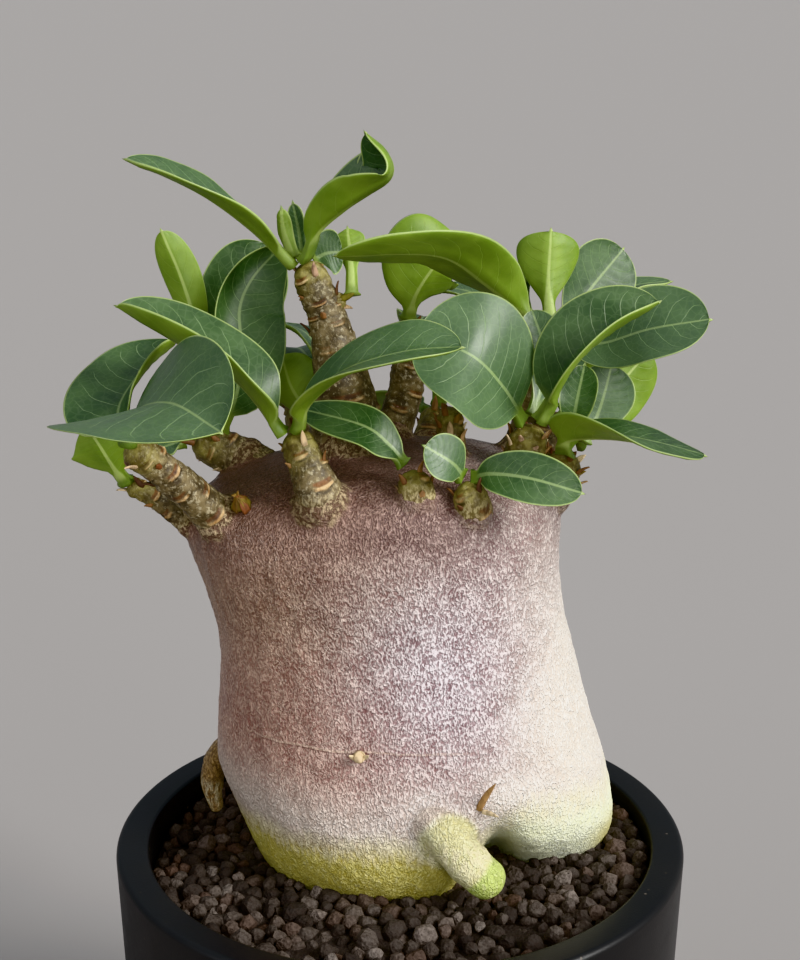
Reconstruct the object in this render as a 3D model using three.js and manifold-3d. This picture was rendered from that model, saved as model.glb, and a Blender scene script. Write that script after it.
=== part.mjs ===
// A potted desert rose: a swollen trunk (the caudex) with short corky shoots and thick obovate leaves,
// standing in gravel in a matte black plastic pot.
// Millimetres, +Z up. The origin is the centre of the pot's flat underside.

import * as THREE from 'three';
import { mergeVertices } from 'three/addons/utils/BufferGeometryUtils.js';
import Module from 'manifold-3d';

const wasm = await Module();
wasm.setup();

// Driving dimensions of the pot
const POT_HEIGHT = 105;
const POT_RIM_RADIUS = 60;
const POT_BASE_RADIUS = 56.4;
const POT_RIM_WIDTH = 6.8;
const POT_WALL = 5.6;
const POT_FLOOR = 4;
const POT_EDGE = 1.3;
const POT_SEGMENTS = 56;
const DRAIN_HOLES = 6;
const DRAIN_RADIUS = 4.5;
const DRAIN_CIRCLE = 30;

// Driving dimensions of the gravel
const GAP = 0.4;
const SOIL_TOP = 100.4;
const SOIL_TILT = 0.03;
const SOIL_SEGMENTS = 48;
const STONE_SPACING = 3.65;
const STONE_SIZE = 2.7;
const STONE_LIMIT = 48.9;

// Driving dimensions of the leaves
const LEAF_THICKNESS = 0.8;
const STALK_RADIUS = 1.1;
const TIP_HALF_WIDTH = 0.45;
const LEAF_ROWS = [0, 0.1, 0.24, 0.42, 0.62, 0.8, 0.93, 1];
const LEAF_COLUMNS = [-1, -0.52, 0, 0.52, 1];
const SMALL_LEAF = 4.7;
const SMALL_LEAF_ROWS = [0, 0.2, 0.45, 0.7, 0.9, 1];
const SMALL_LEAF_COLUMNS = [-1, 0, 1];

// Repeatable random numbers between 0 and 1
function randomSource(seed) {
  let state = seed;
  return () => {
    state = (state * 1664525 + 1013904223) % 4294967296;
    return state / 4294967296;
  };
}

// Conversions between three.js geometry and manifold solids
function toSolid(geometry) {
  const bare = geometry.clone();
  bare.deleteAttribute('normal');
  bare.deleteAttribute('uv');
  const merged = mergeVertices(bare, 1e-4);
  return new wasm.Manifold(new wasm.Mesh({
    numProp: 3,
    vertProperties: new Float32Array(merged.attributes.position.array),
    triVerts: new Uint32Array(merged.index.array),
  }));
}

function toGeometry(solid) {
  const mesh = solid.getMesh();
  const geometry = new THREE.BufferGeometry();
  geometry.setAttribute('position', new THREE.BufferAttribute(mesh.vertProperties, 3));
  geometry.setIndex(new THREE.BufferAttribute(mesh.triVerts, 1));
  geometry.computeVertexNormals();
  return geometry;
}

// The biggest body of a solid: scraps that a cut leaves behind are dropped
function biggestBody(solid) {
  return solid.decompose().reduce((best, body) => (body.volume() > best.volume() ? body : best));
}

// Every vertex moved outward along its own normal: makes room round a piece
function grown(geometry, grow) {
  geometry.computeVertexNormals();
  const spots = geometry.attributes.position;
  const normals = geometry.attributes.normal;
  for (let i = 0; i < spots.count; i += 1) {
    spots.setXYZ(
      i,
      spots.getX(i) + grow * normals.getX(i),
      spots.getY(i) + grow * normals.getY(i),
      spots.getZ(i) + grow * normals.getZ(i),
    );
  }
  return geometry;
}

// A closed skin over a grid of rows: each row is a ring of points, and both ends are closed with a point
function ringSolid(rings, firstPoint, lastPoint, grow) {
  const positions = [];
  const indices = [];
  const sides = rings[0].length;
  positions.push(firstPoint.x, firstPoint.y, firstPoint.z);
  rings.flat().forEach((p) => positions.push(p.x, p.y, p.z));
  positions.push(lastPoint.x, lastPoint.y, lastPoint.z);
  const last = rings.length * sides + 1;
  const at = (row, side) => 1 + row * sides + (side % sides);
  for (let side = 0; side < sides; side += 1) {
    indices.push(0, at(0, side + 1), at(0, side));
    indices.push(last, at(rings.length - 1, side), at(rings.length - 1, side + 1));
    for (let row = 0; row < rings.length - 1; row += 1) {
      indices.push(at(row, side), at(row, side + 1), at(row + 1, side + 1));
      indices.push(at(row, side), at(row + 1, side + 1), at(row + 1, side));
    }
  }
  const geometry = new THREE.BufferGeometry();
  geometry.setAttribute('position', new THREE.Float32BufferAttribute(positions, 3));
  geometry.setIndex(indices);
  return toSolid(grown(geometry, grow));
}

// A smooth curve through points (uniform Catmull-Rom with reflected ends), for points or plain numbers
function smooth(values, t) {
  const count = values.length;
  if (count === 1) {
    return values[0].slice();
  }
  const place = Math.min(Math.max(t, 0), 1) * (count - 1);
  const k = Math.min(Math.floor(place), count - 2);
  const f = place - k;
  const pick = (i, axis) => {
    if (i < 0) {
      return 2 * values[0][axis] - values[1][axis];
    }
    if (i >= count) {
      return 2 * values[count - 1][axis] - values[count - 2][axis];
    }
    return values[i][axis];
  };
  return values[0].map((_, axis) => {
    const a = pick(k - 1, axis);
    const b = pick(k, axis);
    const c = pick(k + 1, axis);
    const d = pick(k + 2, axis);
    return 0.5 * (2 * b + (c - a) * f + (2 * a - 5 * b + 4 * c - d) * f * f
      + (3 * b - a - 3 * c + d) * f * f * f);
  });
}

function direction(values, t) {
  const step = 1e-3;
  const ahead = new THREE.Vector3(...smooth(values, Math.min(t + step, 1)));
  return ahead.sub(new THREE.Vector3(...smooth(values, Math.max(t - step, 0)))).normalize();
}

// The pot

function potSolid() {
  const innerTop = POT_RIM_RADIUS - POT_RIM_WIDTH;
  const innerBase = POT_BASE_RADIUS - POT_WALL;
  const profile = [
    [0, 0],
    [POT_BASE_RADIUS - POT_EDGE, 0],
    [POT_BASE_RADIUS, POT_EDGE],
    [POT_RIM_RADIUS, POT_HEIGHT - POT_EDGE],
    [POT_RIM_RADIUS - POT_EDGE, POT_HEIGHT],
    [innerTop, POT_HEIGHT],
    [innerBase, POT_FLOOR],
    [0, POT_FLOOR],
  ].map(([x, y]) => new THREE.Vector2(x, y));
  const body = toSolid(new THREE.LatheGeometry(profile, POT_SEGMENTS).rotateX(Math.PI / 2));
  const holes = [];
  for (let i = 0; i < DRAIN_HOLES; i += 1) {
    const angle = (2 * Math.PI * (i + 0.5)) / DRAIN_HOLES;
    const hole = new THREE.CylinderGeometry(DRAIN_RADIUS, DRAIN_RADIUS, POT_FLOOR * 3, 16);
    hole.rotateX(Math.PI / 2);
    hole.translate(DRAIN_CIRCLE * Math.cos(angle), DRAIN_CIRCLE * Math.sin(angle), POT_FLOOR / 2);
    holes.push(toSolid(hole));
  }
  return body.subtract(wasm.Manifold.union(holes));
}

// The caudex

// Its outline at each height: height, left, right, front and back, as seen from the front
const CAUDEX_LEVELS = [
  [89, -18, 25, -10, 21],
  [93, -24, 34, -15, 28],
  [97, -28, 40, -18.5, 32],
  [101, -30.3, 43.6, -21, 35],
  [105, -32, 45.3, -23.4, 36.6],
  [110, -33.8, 45.6, -25.4, 37],
  [116, -36.4, 44.4, -26.4, 36.4],
  [122, -38.4, 42.8, -26.5, 35.3],
  [130, -38.3, 40.2, -25.5, 34],
  [138, -38, 37.9, -24.8, 33.2],
  [146, -37.8, 35.9, -24.4, 32.8],
  [155, -39.1, 33.7, -24.4, 33],
  [164, -41.6, 32.5, -25, 33.8],
  [171, -43.8, 32.3, -25.3, 34.4],
  [176.5, -42.8, 32.2, -24.7, 33.6],
  [180.5, -39.2, 31, -23.9, 31],
  [183.5, -34.2, 28.4, -22.2, 27],
  [186, -26.5, 24, -18.8, 22],
  [188.3, -15, 15, -11.5, 15],
];
const CAUDEX_TOP = 189.6;
const CAUDEX_BOTTOM = 88;
const CAUDEX_SIDES = 34;
const CAUDEX_MIDDLE = [3, 6];
const CAUDEX_SQUARENESS = 2.25;

// The crease between the front lobe and the right-hand lobe, which pushes the skin back
const CREASE_X = 19.5;
const CREASE_WIDTH = 4.2;
const CREASE_DEPTH = 12;
const CREASE_ANGLE = -1.1;
const CREASE_FOCUS = 0.45;
const CREASE_FADES_AT = 126;
const CREASE_FULL_AT = 100;
const CREASE_STARTS_AT = 91;
const CREASE_FOOT = 10;
const LOBE_SETBACK = 9;
const LOBE_UNDERCUT = 0.8;
const LOBE_UNDERCUT_FROM = 112;
const LOBE_UNDERCUT_TALL = 12;
const LOBE_STARTS_X = 5;
const LOBE_STEP = 17;

function creasePush(x, z, front) {
  const clamp = THREE.MathUtils.clamp;
  const low = clamp((CREASE_FADES_AT - z) / (CREASE_FADES_AT - CREASE_FULL_AT), 0, 1);
  const deep = clamp((z - CREASE_STARTS_AT) / CREASE_FOOT, 0, 1);
  const across = clamp((x - LOBE_STARTS_X) / LOBE_STEP, 0, 1);
  const groove = CREASE_DEPTH * Math.exp(-(((x - CREASE_X) / CREASE_WIDTH) ** 2));
  const under = clamp((LOBE_UNDERCUT_FROM - z) / LOBE_UNDERCUT_TALL, 0, 1);
  const setback = LOBE_SETBACK * (1 + LOBE_UNDERCUT * under) * across * across * (3 - 2 * across);
  return (groove + setback) * low * low * (3 - 2 * low) * deep * front;
}

function caudexRing([z, left, right, front, back]) {
  const [cx, cy] = CAUDEX_MIDDLE;
  const ring = [];
  for (let i = 0; i < CAUDEX_SIDES; i += 1) {
    const step = (2 * Math.PI * i) / CAUDEX_SIDES;
    const angle = step - CREASE_FOCUS * Math.sin(step - CREASE_ANGLE);
    const c = Math.cos(angle);
    const s = Math.sin(angle);
    const a = c > 0 ? right - cx : cx - left;
    const b = s > 0 ? back - cy : cy - front;
    const n = CAUDEX_SQUARENESS;
    const r = ((Math.abs(c) / a) ** n + (Math.abs(s) / b) ** n) ** (-1 / n);
    const x = cx + r * c;
    ring.push(new THREE.Vector3(x, cy + r * s + creasePush(x, z, Math.max(-s, 0)), z));
  }
  return ring;
}

function caudexBody(grow) {
  const [cx, cy] = CAUDEX_MIDDLE;
  const bottom = new THREE.Vector3(cx, cy, CAUDEX_BOTTOM);
  const top = new THREE.Vector3(cx - 4, cy, CAUDEX_TOP);
  return ringSolid(CAUDEX_LEVELS.map(caudexRing), bottom, top, grow);
}

// The shoots, roots and swellings: each is a round limb along points, with a radius at each point.
// Rings give the corky steps that old leaf scars leave on a shoot.
const LIMBS = [
  { name: 'tall shoot', rings: 10, scales: 5, radius: [9.5, 8.1, 6.4, 4.4, 3.8, 3.3],
    line: [[-9, 5, 178], [-10.5, 5, 190], [-11.5, 5, 200], [-13.8, 5, 213], [-16, 5, 219.5],
      [-19, 5, 226.3]] },
  { name: 'side bud of the tall shoot', rings: 1, scales: 0, radius: [2.2, 1.8],
    line: [[-14.5, 5, 218], [-10.6, 5, 219.3]] },
  { name: 'fork', rings: 5, scales: 3, radius: [4.6, 3.9, 3.7, 3.4],
    line: [[-5, 9, 182], [0, 14, 194], [2, 16, 203], [2, 16, 212.8]] },
  { name: 'front shoot', rings: 5, scales: 4, radius: [5.8, 4.8, 3.8, 3.1],
    line: [[-13.5, -13, 177], [-15.2, -18.4, 185.2], [-17.6, -18, 191.3], [-20.3, -16, 197.6]] },
  { name: 'left shoot', rings: 6, scales: 4, radius: [4.4, 3.8, 3.6, 3.4],
    line: [[-33, -8, 175], [-39.5, -13.5, 183.5], [-46, -18.5, 191.5], [-50.6, -22, 196]] },
  { name: 'low left shoot', rings: 3, scales: 2, radius: [2.9, 2.4, 2.2],
    line: [[-38, 0, 170], [-47, -3, 179], [-54, -4, 183.8]] },
  { name: 'dark middle shoot', rings: 5, scales: 3, radius: [6.2, 4.9, 3.8],
    line: [[-24, 10, 178], [-33.5, 13, 184], [-43, 14, 188.4]] },
  { name: 'front stub', rings: 3, scales: 3, radius: [3.4, 3.2, 2.8],
    line: [[3.2, -16, 181.5], [3.2, -19.6, 186], [2.2, -18.8, 190.6]] },
  { name: 'pale stub', rings: 3, scales: 3, radius: [3.5, 3.2, 2.6],
    line: [[13.8, -16.5, 181], [13.8, -20.6, 184.8], [12.4, -20.6, 188.8]] },
  { name: 'spiky shoot', rings: 3, scales: 6, radius: [3.6, 3.1, 2.7],
    line: [[10.5, 1, 183], [10.2, 1, 190], [9.8, 2, 198]] },
  { name: 'knobby shoot', rings: 4, scales: 4, radius: [5.2, 4.4, 3.6],
    line: [[23, -1, 179], [24.5, -3, 188], [25.8, -4, 195.6]] },
  { name: 'right shoot', rings: 3, scales: 4, radius: [5.2, 4.6, 3.8],
    line: [[27.5, -1, 179], [31, -2.5, 184.5], [34, -3, 189.6]] },
  { name: 'rear shoot', rings: 7, scales: 4, radius: [5, 4.2, 3.8, 3.4],
    line: [[23, 11, 180], [27, 14, 191], [29.5, 15.5, 201], [30.4, 16, 210.6]] },
  { name: 'back left shoot', rings: 4, scales: 3, radius: [4.8, 4, 3.4],
    line: [[-18, 20, 176], [-20.5, 26.5, 185], [-22, 30, 193.5]] },
  { name: 'back middle shoot', rings: 3, scales: 3, radius: [4.4, 3.8, 3.2],
    line: [[4, 22, 178], [6.5, 29, 184], [8, 34, 189.5]] },
  { name: 'back right shoot', rings: 4, scales: 3, radius: [4.8, 4.2, 3.5],
    line: [[24, 16, 176], [30, 24, 183.5], [34, 29, 189.5]] },
  { name: 'right shoulder', rings: 0, scales: 0, radius: [9, 9.5, 7],
    line: [[13, 3, 177], [20, 4, 178.5], [24.5, 5, 177.5]] },
  { name: 'cut front root', rings: 0, scales: 0, radius: [5.4, 4.9, 4.5, 4.1],
    line: [[1, -15, 125], [6, -23.8, 120.4], [13, -27.2, 112.8], [19.8, -28, 107]] },
  { name: 'cut left root', rings: 0, scales: 0, radius: [3.4, 2.7, 2.1, 1.2],
    line: [[-33, 7, 123], [-39.3, 8, 118.5], [-40.9, 9, 112], [-39.8, 9, 104.8]] },
];
const LIMB_SIDES = 8;
const LIMB_ACROSS = new THREE.Vector3(0.31, 0.95, 0.07);
const RING_RELIEF = 0.055;

// Two directions square to a limb's line at t, and the line's own direction
function limbFrame(line, t) {
  const axis = direction(line, t);
  const side = new THREE.Vector3().crossVectors(axis, LIMB_ACROSS).normalize();
  return { axis, side, other: new THREE.Vector3().crossVectors(axis, side) };
}

function limbSolid(limb, grow) {
  const rows = Math.max(limb.rings * 2, (limb.line.length - 1) * 2);
  const rings = [];
  const radii = limb.radius.map((r) => [r]);
  for (let row = 0; row <= rows; row += 1) {
    const t = row / rows;
    const middle = new THREE.Vector3(...smooth(limb.line, t));
    const { side, other } = limbFrame(limb.line, t);
    const relief = limb.rings > 0 ? 1 + RING_RELIEF * (row % 2 === 0 ? -1 : 1) : 1;
    const radius = smooth(radii, t)[0] * relief;
    rings.push(Array.from({ length: LIMB_SIDES }, (_, i) => {
      const angle = (2 * Math.PI * i) / LIMB_SIDES;
      return middle.clone()
        .addScaledVector(side, radius * Math.cos(angle))
        .addScaledVector(other, radius * Math.sin(angle));
    }));
  }
  const startRadius = limb.radius[0];
  const endRadius = limb.radius[limb.radius.length - 1];
  const start = new THREE.Vector3(...limb.line[0])
    .addScaledVector(direction(limb.line, 0), -startRadius * 0.4);
  const end = new THREE.Vector3(...limb.line[limb.line.length - 1])
    .addScaledVector(direction(limb.line, 1), endRadius * 0.35);
  return ringSolid(rings, start, end, grow);
}

// Dry bracts and buds round the end of a shoot: small pointed scales, well rooted in the bark
const SCALE_LENGTH = 3.4;
const SCALE_RADIUS = 0.9;

function scaleSolids(limb, seed, grow) {
  const random = randomSource(seed);
  const solids = [];
  for (let i = 0; i < limb.scales; i += 1) {
    const t = 0.97 - 0.3 * random();
    const angle = 2 * Math.PI * ((i + 0.5 * random()) / limb.scales);
    const { axis, side, other } = limbFrame(limb.line, t);
    const out = side.multiplyScalar(Math.cos(angle)).addScaledVector(other, Math.sin(angle));
    const radius = smooth(limb.radius.map((r) => [r]), t)[0];
    const root = new THREE.Vector3(...smooth(limb.line, t)).addScaledVector(out, radius * 0.72);
    const heading = out.clone().multiplyScalar(0.8).addScaledVector(axis, 0.7).normalize();
    const cone = new THREE.ConeGeometry(SCALE_RADIUS + grow, SCALE_LENGTH + 2 * grow, 4);
    cone.translate(0, SCALE_LENGTH * 0.35, 0);
    cone.applyQuaternion(new THREE.Quaternion().setFromUnitVectors(new THREE.Vector3(0, 1, 0), heading));
    cone.translate(root.x, root.y, root.z);
    solids.push(toSolid(cone));
  }
  return solids;
}

// Small knobs on the skin: a bud stub on the left shoulder, a nub in front and a dry scar by the crease
const KNOBS = [
  { place: [-30, -12.6, 182.6], radius: 2.1 },
  { place: [-8, -24.5, 134], radius: 1.1 },
  { place: [16.8, -22.9, 122.4], radius: 1.6 },
];

function plantSolid(grow) {
  const pieces = [caudexBody(grow)];
  LIMBS.forEach((limb, index) => {
    pieces.push(limbSolid(limb, grow));
    pieces.push(...scaleSolids(limb, 11 + index, grow));
  });
  KNOBS.forEach(({ place, radius }) => {
    pieces.push(toSolid(new THREE.IcosahedronGeometry(radius + grow, 0).translate(...place)));
  });
  return biggestBody(wasm.Manifold.union(pieces));
}

// The gravel: a filled disc that follows the pot's inner wall, with angular stones fused into its top

function stoneSolid(x, y, z, random) {
  const stone = new THREE.BoxGeometry(2, 2, 2);
  const spots = mergeVertices(stone.deleteAttribute('normal').deleteAttribute('uv'));
  const corners = spots.attributes.position;
  for (let i = 0; i < corners.count; i += 1) {
    const blunt = 0.72 + 0.3 * random();
    corners.setXYZ(
      i,
      corners.getX(i) * blunt * (0.85 + 0.3 * random()),
      corners.getY(i) * blunt * (0.85 + 0.3 * random()),
      corners.getZ(i) * blunt * (0.75 + 0.25 * random()),
    );
  }
  const size = STONE_SIZE * (0.78 + 0.34 * random());
  spots.scale(size, size * (0.8 + 0.25 * random()), size * 0.82);
  spots.rotateX((random() - 0.5) * 0.9);
  spots.rotateY((random() - 0.5) * 0.9);
  spots.rotateZ(random() * Math.PI);
  spots.translate(x, y, z);
  return toSolid(spots);
}

function soilSolid(plantRoom) {
  const wallAt = (z) => {
    const innerTop = POT_RIM_RADIUS - POT_RIM_WIDTH;
    const innerBase = POT_BASE_RADIUS - POT_WALL;
    return innerBase + ((innerTop - innerBase) * (z - POT_FLOOR)) / (POT_HEIGHT - POT_FLOOR);
  };
  const bottom = POT_FLOOR + GAP;
  const profile = [
    [0, bottom],
    [wallAt(bottom) - GAP, bottom],
    [wallAt(SOIL_TOP) - GAP, SOIL_TOP],
    [0, SOIL_TOP],
  ].map(([x, y]) => new THREE.Vector2(x, y));
  const disc = new THREE.LatheGeometry(profile, SOIL_SEGMENTS).rotateX(Math.PI / 2);
  const spots = disc.attributes.position;
  for (let i = 0; i < spots.count; i += 1) {
    if (spots.getZ(i) > SOIL_TOP - 1) {
      spots.setZ(i, SOIL_TOP + SOIL_TILT * spots.getX(i));
    }
  }
  const random = randomSource(7);
  const pieces = [toSolid(disc)];
  const goldenAngle = Math.PI * (3 - Math.sqrt(5));
  for (let k = 1; STONE_SPACING * Math.sqrt(k) < STONE_LIMIT; k += 1) {
    const reach = STONE_SPACING * Math.sqrt(k) + (random() - 0.5) * 0.6;
    const x = reach * Math.cos(k * goldenAngle) + (random() - 0.5) * 0.6;
    const y = reach * Math.sin(k * goldenAngle) + (random() - 0.5) * 0.6;
    const stone = stoneSolid(x, y, SOIL_TOP + 0.55 + SOIL_TILT * x, random);
    const underPlant = ((x - 5) / 32) ** 2 + ((y - 6) / 24) ** 2 < 1;
    if (!underPlant) {
      pieces.push(stone);
    }
  }
  return biggestBody(wasm.Manifold.union(pieces).subtract(plantRoom));
}

// The leaves. Each leaf has a midrib through points, a half width (one, or left and right of the midrib
// seen from the stalk), the way its upper face looks at the stalk and further out, and the angles in
// degrees by which its left and right halves fold up from the midrib, at the stalk and further out.
const LEAVES = [
  { name: 'leaf_tall_1', half: 6.2, widest: 0.52, face: [[0, -0.1, 1]], fold: [[8, 10]],
    line: [[-20.5, 4.5, 226.5], [-27, 2, 233.5], [-35.5, -2, 240.5], [-44, -4, 245], [-51.5, -4, 247.5]] },
  { name: 'leaf_tall_2', half: 6.8, widest: 0.5, face: [[-0.6, 0.1, 0.7], [-0.5, 0, 0.9], [-1, 0, 0.1]],
    fold: [[60, 70], [60, 68], [60, 55], [62, 20], [62, -5], [60, -5]],
    line: [[-18.5, 3.5, 227], [-16, 1, 233], [-11, -3, 238], [-6.5, -4, 241.5], [-2.5, -4, 244.5],
      [-3, -4, 248], [-6.5, -4, 252]] },
  { name: 'leaf_tall_young_1', half: 1.5, face: [[0.3, 1, 0]], fold: [[10, 10]],
    line: [[-20.8, 7.3, 227.2], [-22.5, 7.6, 232], [-23.2, 7.6, 236.5]] },
  { name: 'leaf_tall_young_2', half: 1.7, face: [[-0.2, -1, 0]],
    line: [[-19.4, 8.4, 227], [-20.2, 10.3, 232], [-21.3, 11.5, 237]] },
  { name: 'leaf_tall_3', half: 4.6, widest: 0.6, face: [[0, -1, 0.3]],
    line: [[-16.9, 7, 226.6], [-14.6, 7.3, 227.8], [-11.4, 8.2, 228]] },
  { name: 'leaf_tall_4', half: 3.3, stalk: 0.25, widest: 0.75, face: [[0, 1, 0]],
    line: [[-9.5, 5, 219.8], [-9.6, 7, 224], [-10, 11, 228], [-10.5, 14, 231.5]] },
  { name: 'leaf_tall_5', half: 8, face: [[0, -0.1, 1]],
    line: [[-15.5, 11, 199], [-19, 20, 203.5], [-22, 30, 204], [-25, 40, 200]] },
  { name: 'leaf_tall_6', half: 5, face: [[0.5, -0.3, 0.8]],
    line: [[-15, 9.5, 205], [-19, 19, 209], [-24.5, 27, 210]] },
  { name: 'leaf_tall_7', half: 6, face: [[0.2, 1, 0.2]],
    line: [[-16, 8, 193], [-21.5, 11.5, 199.5], [-24, 15, 205.5]] },
  { name: 'leaf_fork_1', half: 11, face: [[-0.3, 1, 0.2]], fold: [[20, 20]],
    line: [[1.5, 16, 213.5], [3, 14, 219], [7, 13, 225], [12, 17, 229]] },
  { name: 'leaf_fork_2', half: 8, face: [[0.1, 0.3, 1]],
    line: [[3, 20, 209], [5, 29, 211], [7, 38, 207], [9, 46, 200]] },
  { name: 'leaf_rear_1', half: 8, widest: 0.55, face: [[0, 0.35, 0.94]], curl: [[5, 5]],
    fold: [[65, 40], [24, -5], [8, -10]],
    line: [[29, 15, 211], [23, 13.5, 217], [17, 6, 223], [9, -3, 229.5], [-1, -8, 231],
      [-12, -10, 230.3]] },
  { name: 'leaf_rear_2', half: 7.4, widest: 0.8, face: [[0, 1, 0.1]], fold: [[22, 22]],
    line: [[31, 17.5, 211.5], [30.5, 20, 219], [31, 22, 230]] },
  { name: 'leaf_rear_3', half: 10, face: [[-0.1, -0.6, 0.8]],
    line: [[32.5, 14.5, 209], [40, 8, 209.5], [49.5, 3, 213.5], [60.5, 0, 216]] },
  { name: 'leaf_rear_4', half: 8, face: [[0.3, -0.9, 0.2]],
    line: [[33, 19, 209.5], [39.5, 25, 217], [47, 30, 225]] },
  { name: 'leaf_rear_5', half: 3.6, face: [[0, -0.2, 1]],
    line: [[28.5, 19, 208.5], [21, 23, 214], [14, 26, 217], [6.5, 30, 217]] },
  { name: 'leaf_rear_6', half: 2.5, face: [[0.8, -0.3, 0]], fold: [[30, 30]],
    line: [[28, 18.8, 210.5], [25.5, 24.5, 216], [26, 28.5, 223.5]] },
  { name: 'leaf_rear_7', half: 4, face: [[0, -0.1, 1]],
    line: [[32, 19.5, 206.5], [40.5, 29, 212], [49, 33, 216.5], [58, 35, 217.5]] },
  { name: 'leaf_rear_8', half: 8, face: [[0, 0.2, 1]],
    line: [[29.5, 20, 205], [24, 31, 210], [18, 41, 211], [13, 50, 207]] },
  { name: 'leaf_front_1', half: 10, curl: [[5, 5]], fold: [[0, 22]],
    face: [[-0.5, -0.2, 0.8], [-0.1, -0.35, 0.9], [0, -0.35, 0.9]],
    line: [[-20, -17, 198.5], [-18, -20, 204.5], [-10, -24, 211.5], [1, -27, 215.5], [11, -28, 216.5]] },
  { name: 'leaf_front_2', half: 8.6, widest: 0.55, curl: [[5, 5]], face: [[0.3, 0, 0.95]], fold: [[32, 42]],
    line: [[-22, -16.5, 197.5], [-26, -17, 203.5], [-32, -15, 209], [-43, -12, 215], [-53.5, -10, 220.5]] },
  { name: 'leaf_left_1', half: [14, 20], widest: 0.5, fold: [[22, 13]],
    face: [[-0.6, 0.6, 0.5], [-0.45, 0.1, 0.9], [-0.35, -0.25, 0.9], [-0.35, -0.25, 0.9]],
    line: [[-51, -23, 197], [-49, -24, 203.5], [-40.5, -36, 208], [-30.5, -50, 206.5]] },
  { name: 'leaf_left_2', half: [12, 8], widest: 0.45, face: [[-0.2, -0.6, 0.75]], fold: [[0, 45]],
    line: [[-51.5, -20, 197], [-54, -11, 201], [-51, 3, 205.5], [-46, 16, 208.5]] },
  { name: 'leaf_low_left_1', half: 8, widest: 0.5, stalk: 0.2, face: [[0, 1, 0.1]], fold: [[15, 15]],
    line: [[-54.5, -4, 184.5], [-56.5, -7, 189], [-58.5, -8, 193], [-61, -7, 196.5]] },
  { name: 'leaf_middle_1', half: [6, 9.3], widest: 0.5, face: [[0.1, -1, 0.2]], fold: [[0, 0]],
    curl: [[70, 5]],
    line: [[-37, 12, 190], [-33.5, 9, 198], [-32, 9.5, 207], [-32.5, 12, 215.5], [-30, 14, 221.5],
      [-24.5, 16, 227.5]] },
  { name: 'leaf_middle_2', half: 4.2, widest: 0.72, face: [[0, 1, 0]], fold: [[15, 15]],
    line: [[-44, 16, 191], [-42.5, 20, 203], [-43, 22, 212], [-45.5, 22.5, 221], [-49, 22, 230]] },
  { name: 'leaf_middle_3', half: 9, widest: 0.7, face: [[0.2, -1, 0.2]],
    line: [[-41, 17.5, 190], [-37, 23, 203], [-34, 26, 215], [-28, 30, 226]] },
  { name: 'leaf_middle_4', half: 4, face: [[0, -0.4, 1]],
    line: [[-45, 13.5, 188], [-48.5, 12, 187], [-52, 10, 186.5]] },
  { name: 'leaf_stub_1', half: [5.6, 4.4], face: [[0.1, -0.6, 0.8]],
    line: [[1, -18, 191.8], [-2, -18, 195.5], [-7, -17, 199], [-19, -12, 201]] },
  { name: 'leaf_pale_1', half: 4.6, face: [[0.2, -0.8, 0.5]],
    line: [[12, -20.5, 190], [9.8, -23, 193.3], [4.7, -24, 196.8]] },
  { name: 'leaf_pale_2', half: 5, face: [[0, -0.85, 0.5]],
    line: [[13.5, -21, 189.8], [17, -24, 191.5], [24, -27, 191.5], [33.5, -28, 189]] },
  { name: 'leaf_knob_1', half: 13.5, widest: 0.55, face: [[0.15, -0.75, 0.65]],
    line: [[24.5, -4.5, 196.5], [20, -9, 204.5], [13.5, -12, 211.5], [3, -10, 215]] },
  { name: 'leaf_knob_2', half: 9.5, widest: 0.45, face: [[-0.2, -0.8, 0.5]], fold: [[5, 75]],
    curl: [[10, 0]],
    line: [[27, -5.5, 197], [33.5, -8, 209], [40.5, -8, 215.5], [49.5, -6, 220.5]] },
  { name: 'leaf_knob_3', half: 4.6, face: [[0.2, -1, 0.1]],
    line: [[26.5, -2.5, 197.5], [28.5, 2, 204], [28.5, 6, 210], [26.5, 9, 216]] },
  { name: 'leaf_right_1', half: 8, widest: 0.5, face: [[0, 0, 1]], curl: [[0, 0]],
    fold: [[30, 80], [15, 50], [5, 8], [0, -10]],
    line: [[32.5, -6.5, 190.5], [33, -9, 194.5], [40.5, -14, 196.5], [49, -16, 195.5], [58, -16, 193]] },
  { name: 'leaf_right_2', half: 6.3, face: [[0.2, -1, 0.1]],
    line: [[37, 0, 191.5], [39.5, 3, 195.5], [41, 4, 200], [42.5, 6, 205.5]] },
  { name: 'leaf_right_3', half: 3.8, face: [[-0.2, -1, 0.1]],
    line: [[34, -1, 192], [34.8, -2, 199.5], [36.5, 1, 206.5]] },
  { name: 'leaf_right_4', half: 8, face: [[0.2, 0.9, 0.3]],
    line: [[35.5, 2.5, 190], [40, 10, 193.5], [45.5, 16, 199.5], [51.5, 18, 206]] },
  { name: 'leaf_back_left_1', half: 9, face: [[0, -0.2, 1]],
    line: [[-24.5, 30.5, 192.5], [-33, 37, 194.5], [-41.5, 45, 196], [-50, 51, 194]] },
  { name: 'leaf_back_left_2', half: 8.5, face: [[0, 0.4, 1]],
    line: [[-20.5, 33.5, 192.5], [-21, 43, 195], [-22, 52, 191], [-24, 58, 183]] },
  { name: 'leaf_back_middle_1', half: 8, face: [[0, 0, 1]],
    line: [[8.5, 36, 190.5], [8, 45, 197], [6, 55, 198.5], [4, 64, 194]] },
  { name: 'leaf_back_middle_2', half: 7.5, face: [[0, 0.5, 1]],
    line: [[6.5, 37, 189], [1, 46, 189], [-5, 54, 184], [-9, 60, 175]] },
  { name: 'leaf_back_right_1', half: 8.5, face: [[0, 0, 1]],
    line: [[35.4, 29.4, 190.8], [43, 36.5, 198], [51, 43, 201], [58.5, 48, 198.5]] },
  { name: 'leaf_back_right_2', half: 8, face: [[0.2, 0.3, 1]],
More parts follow.
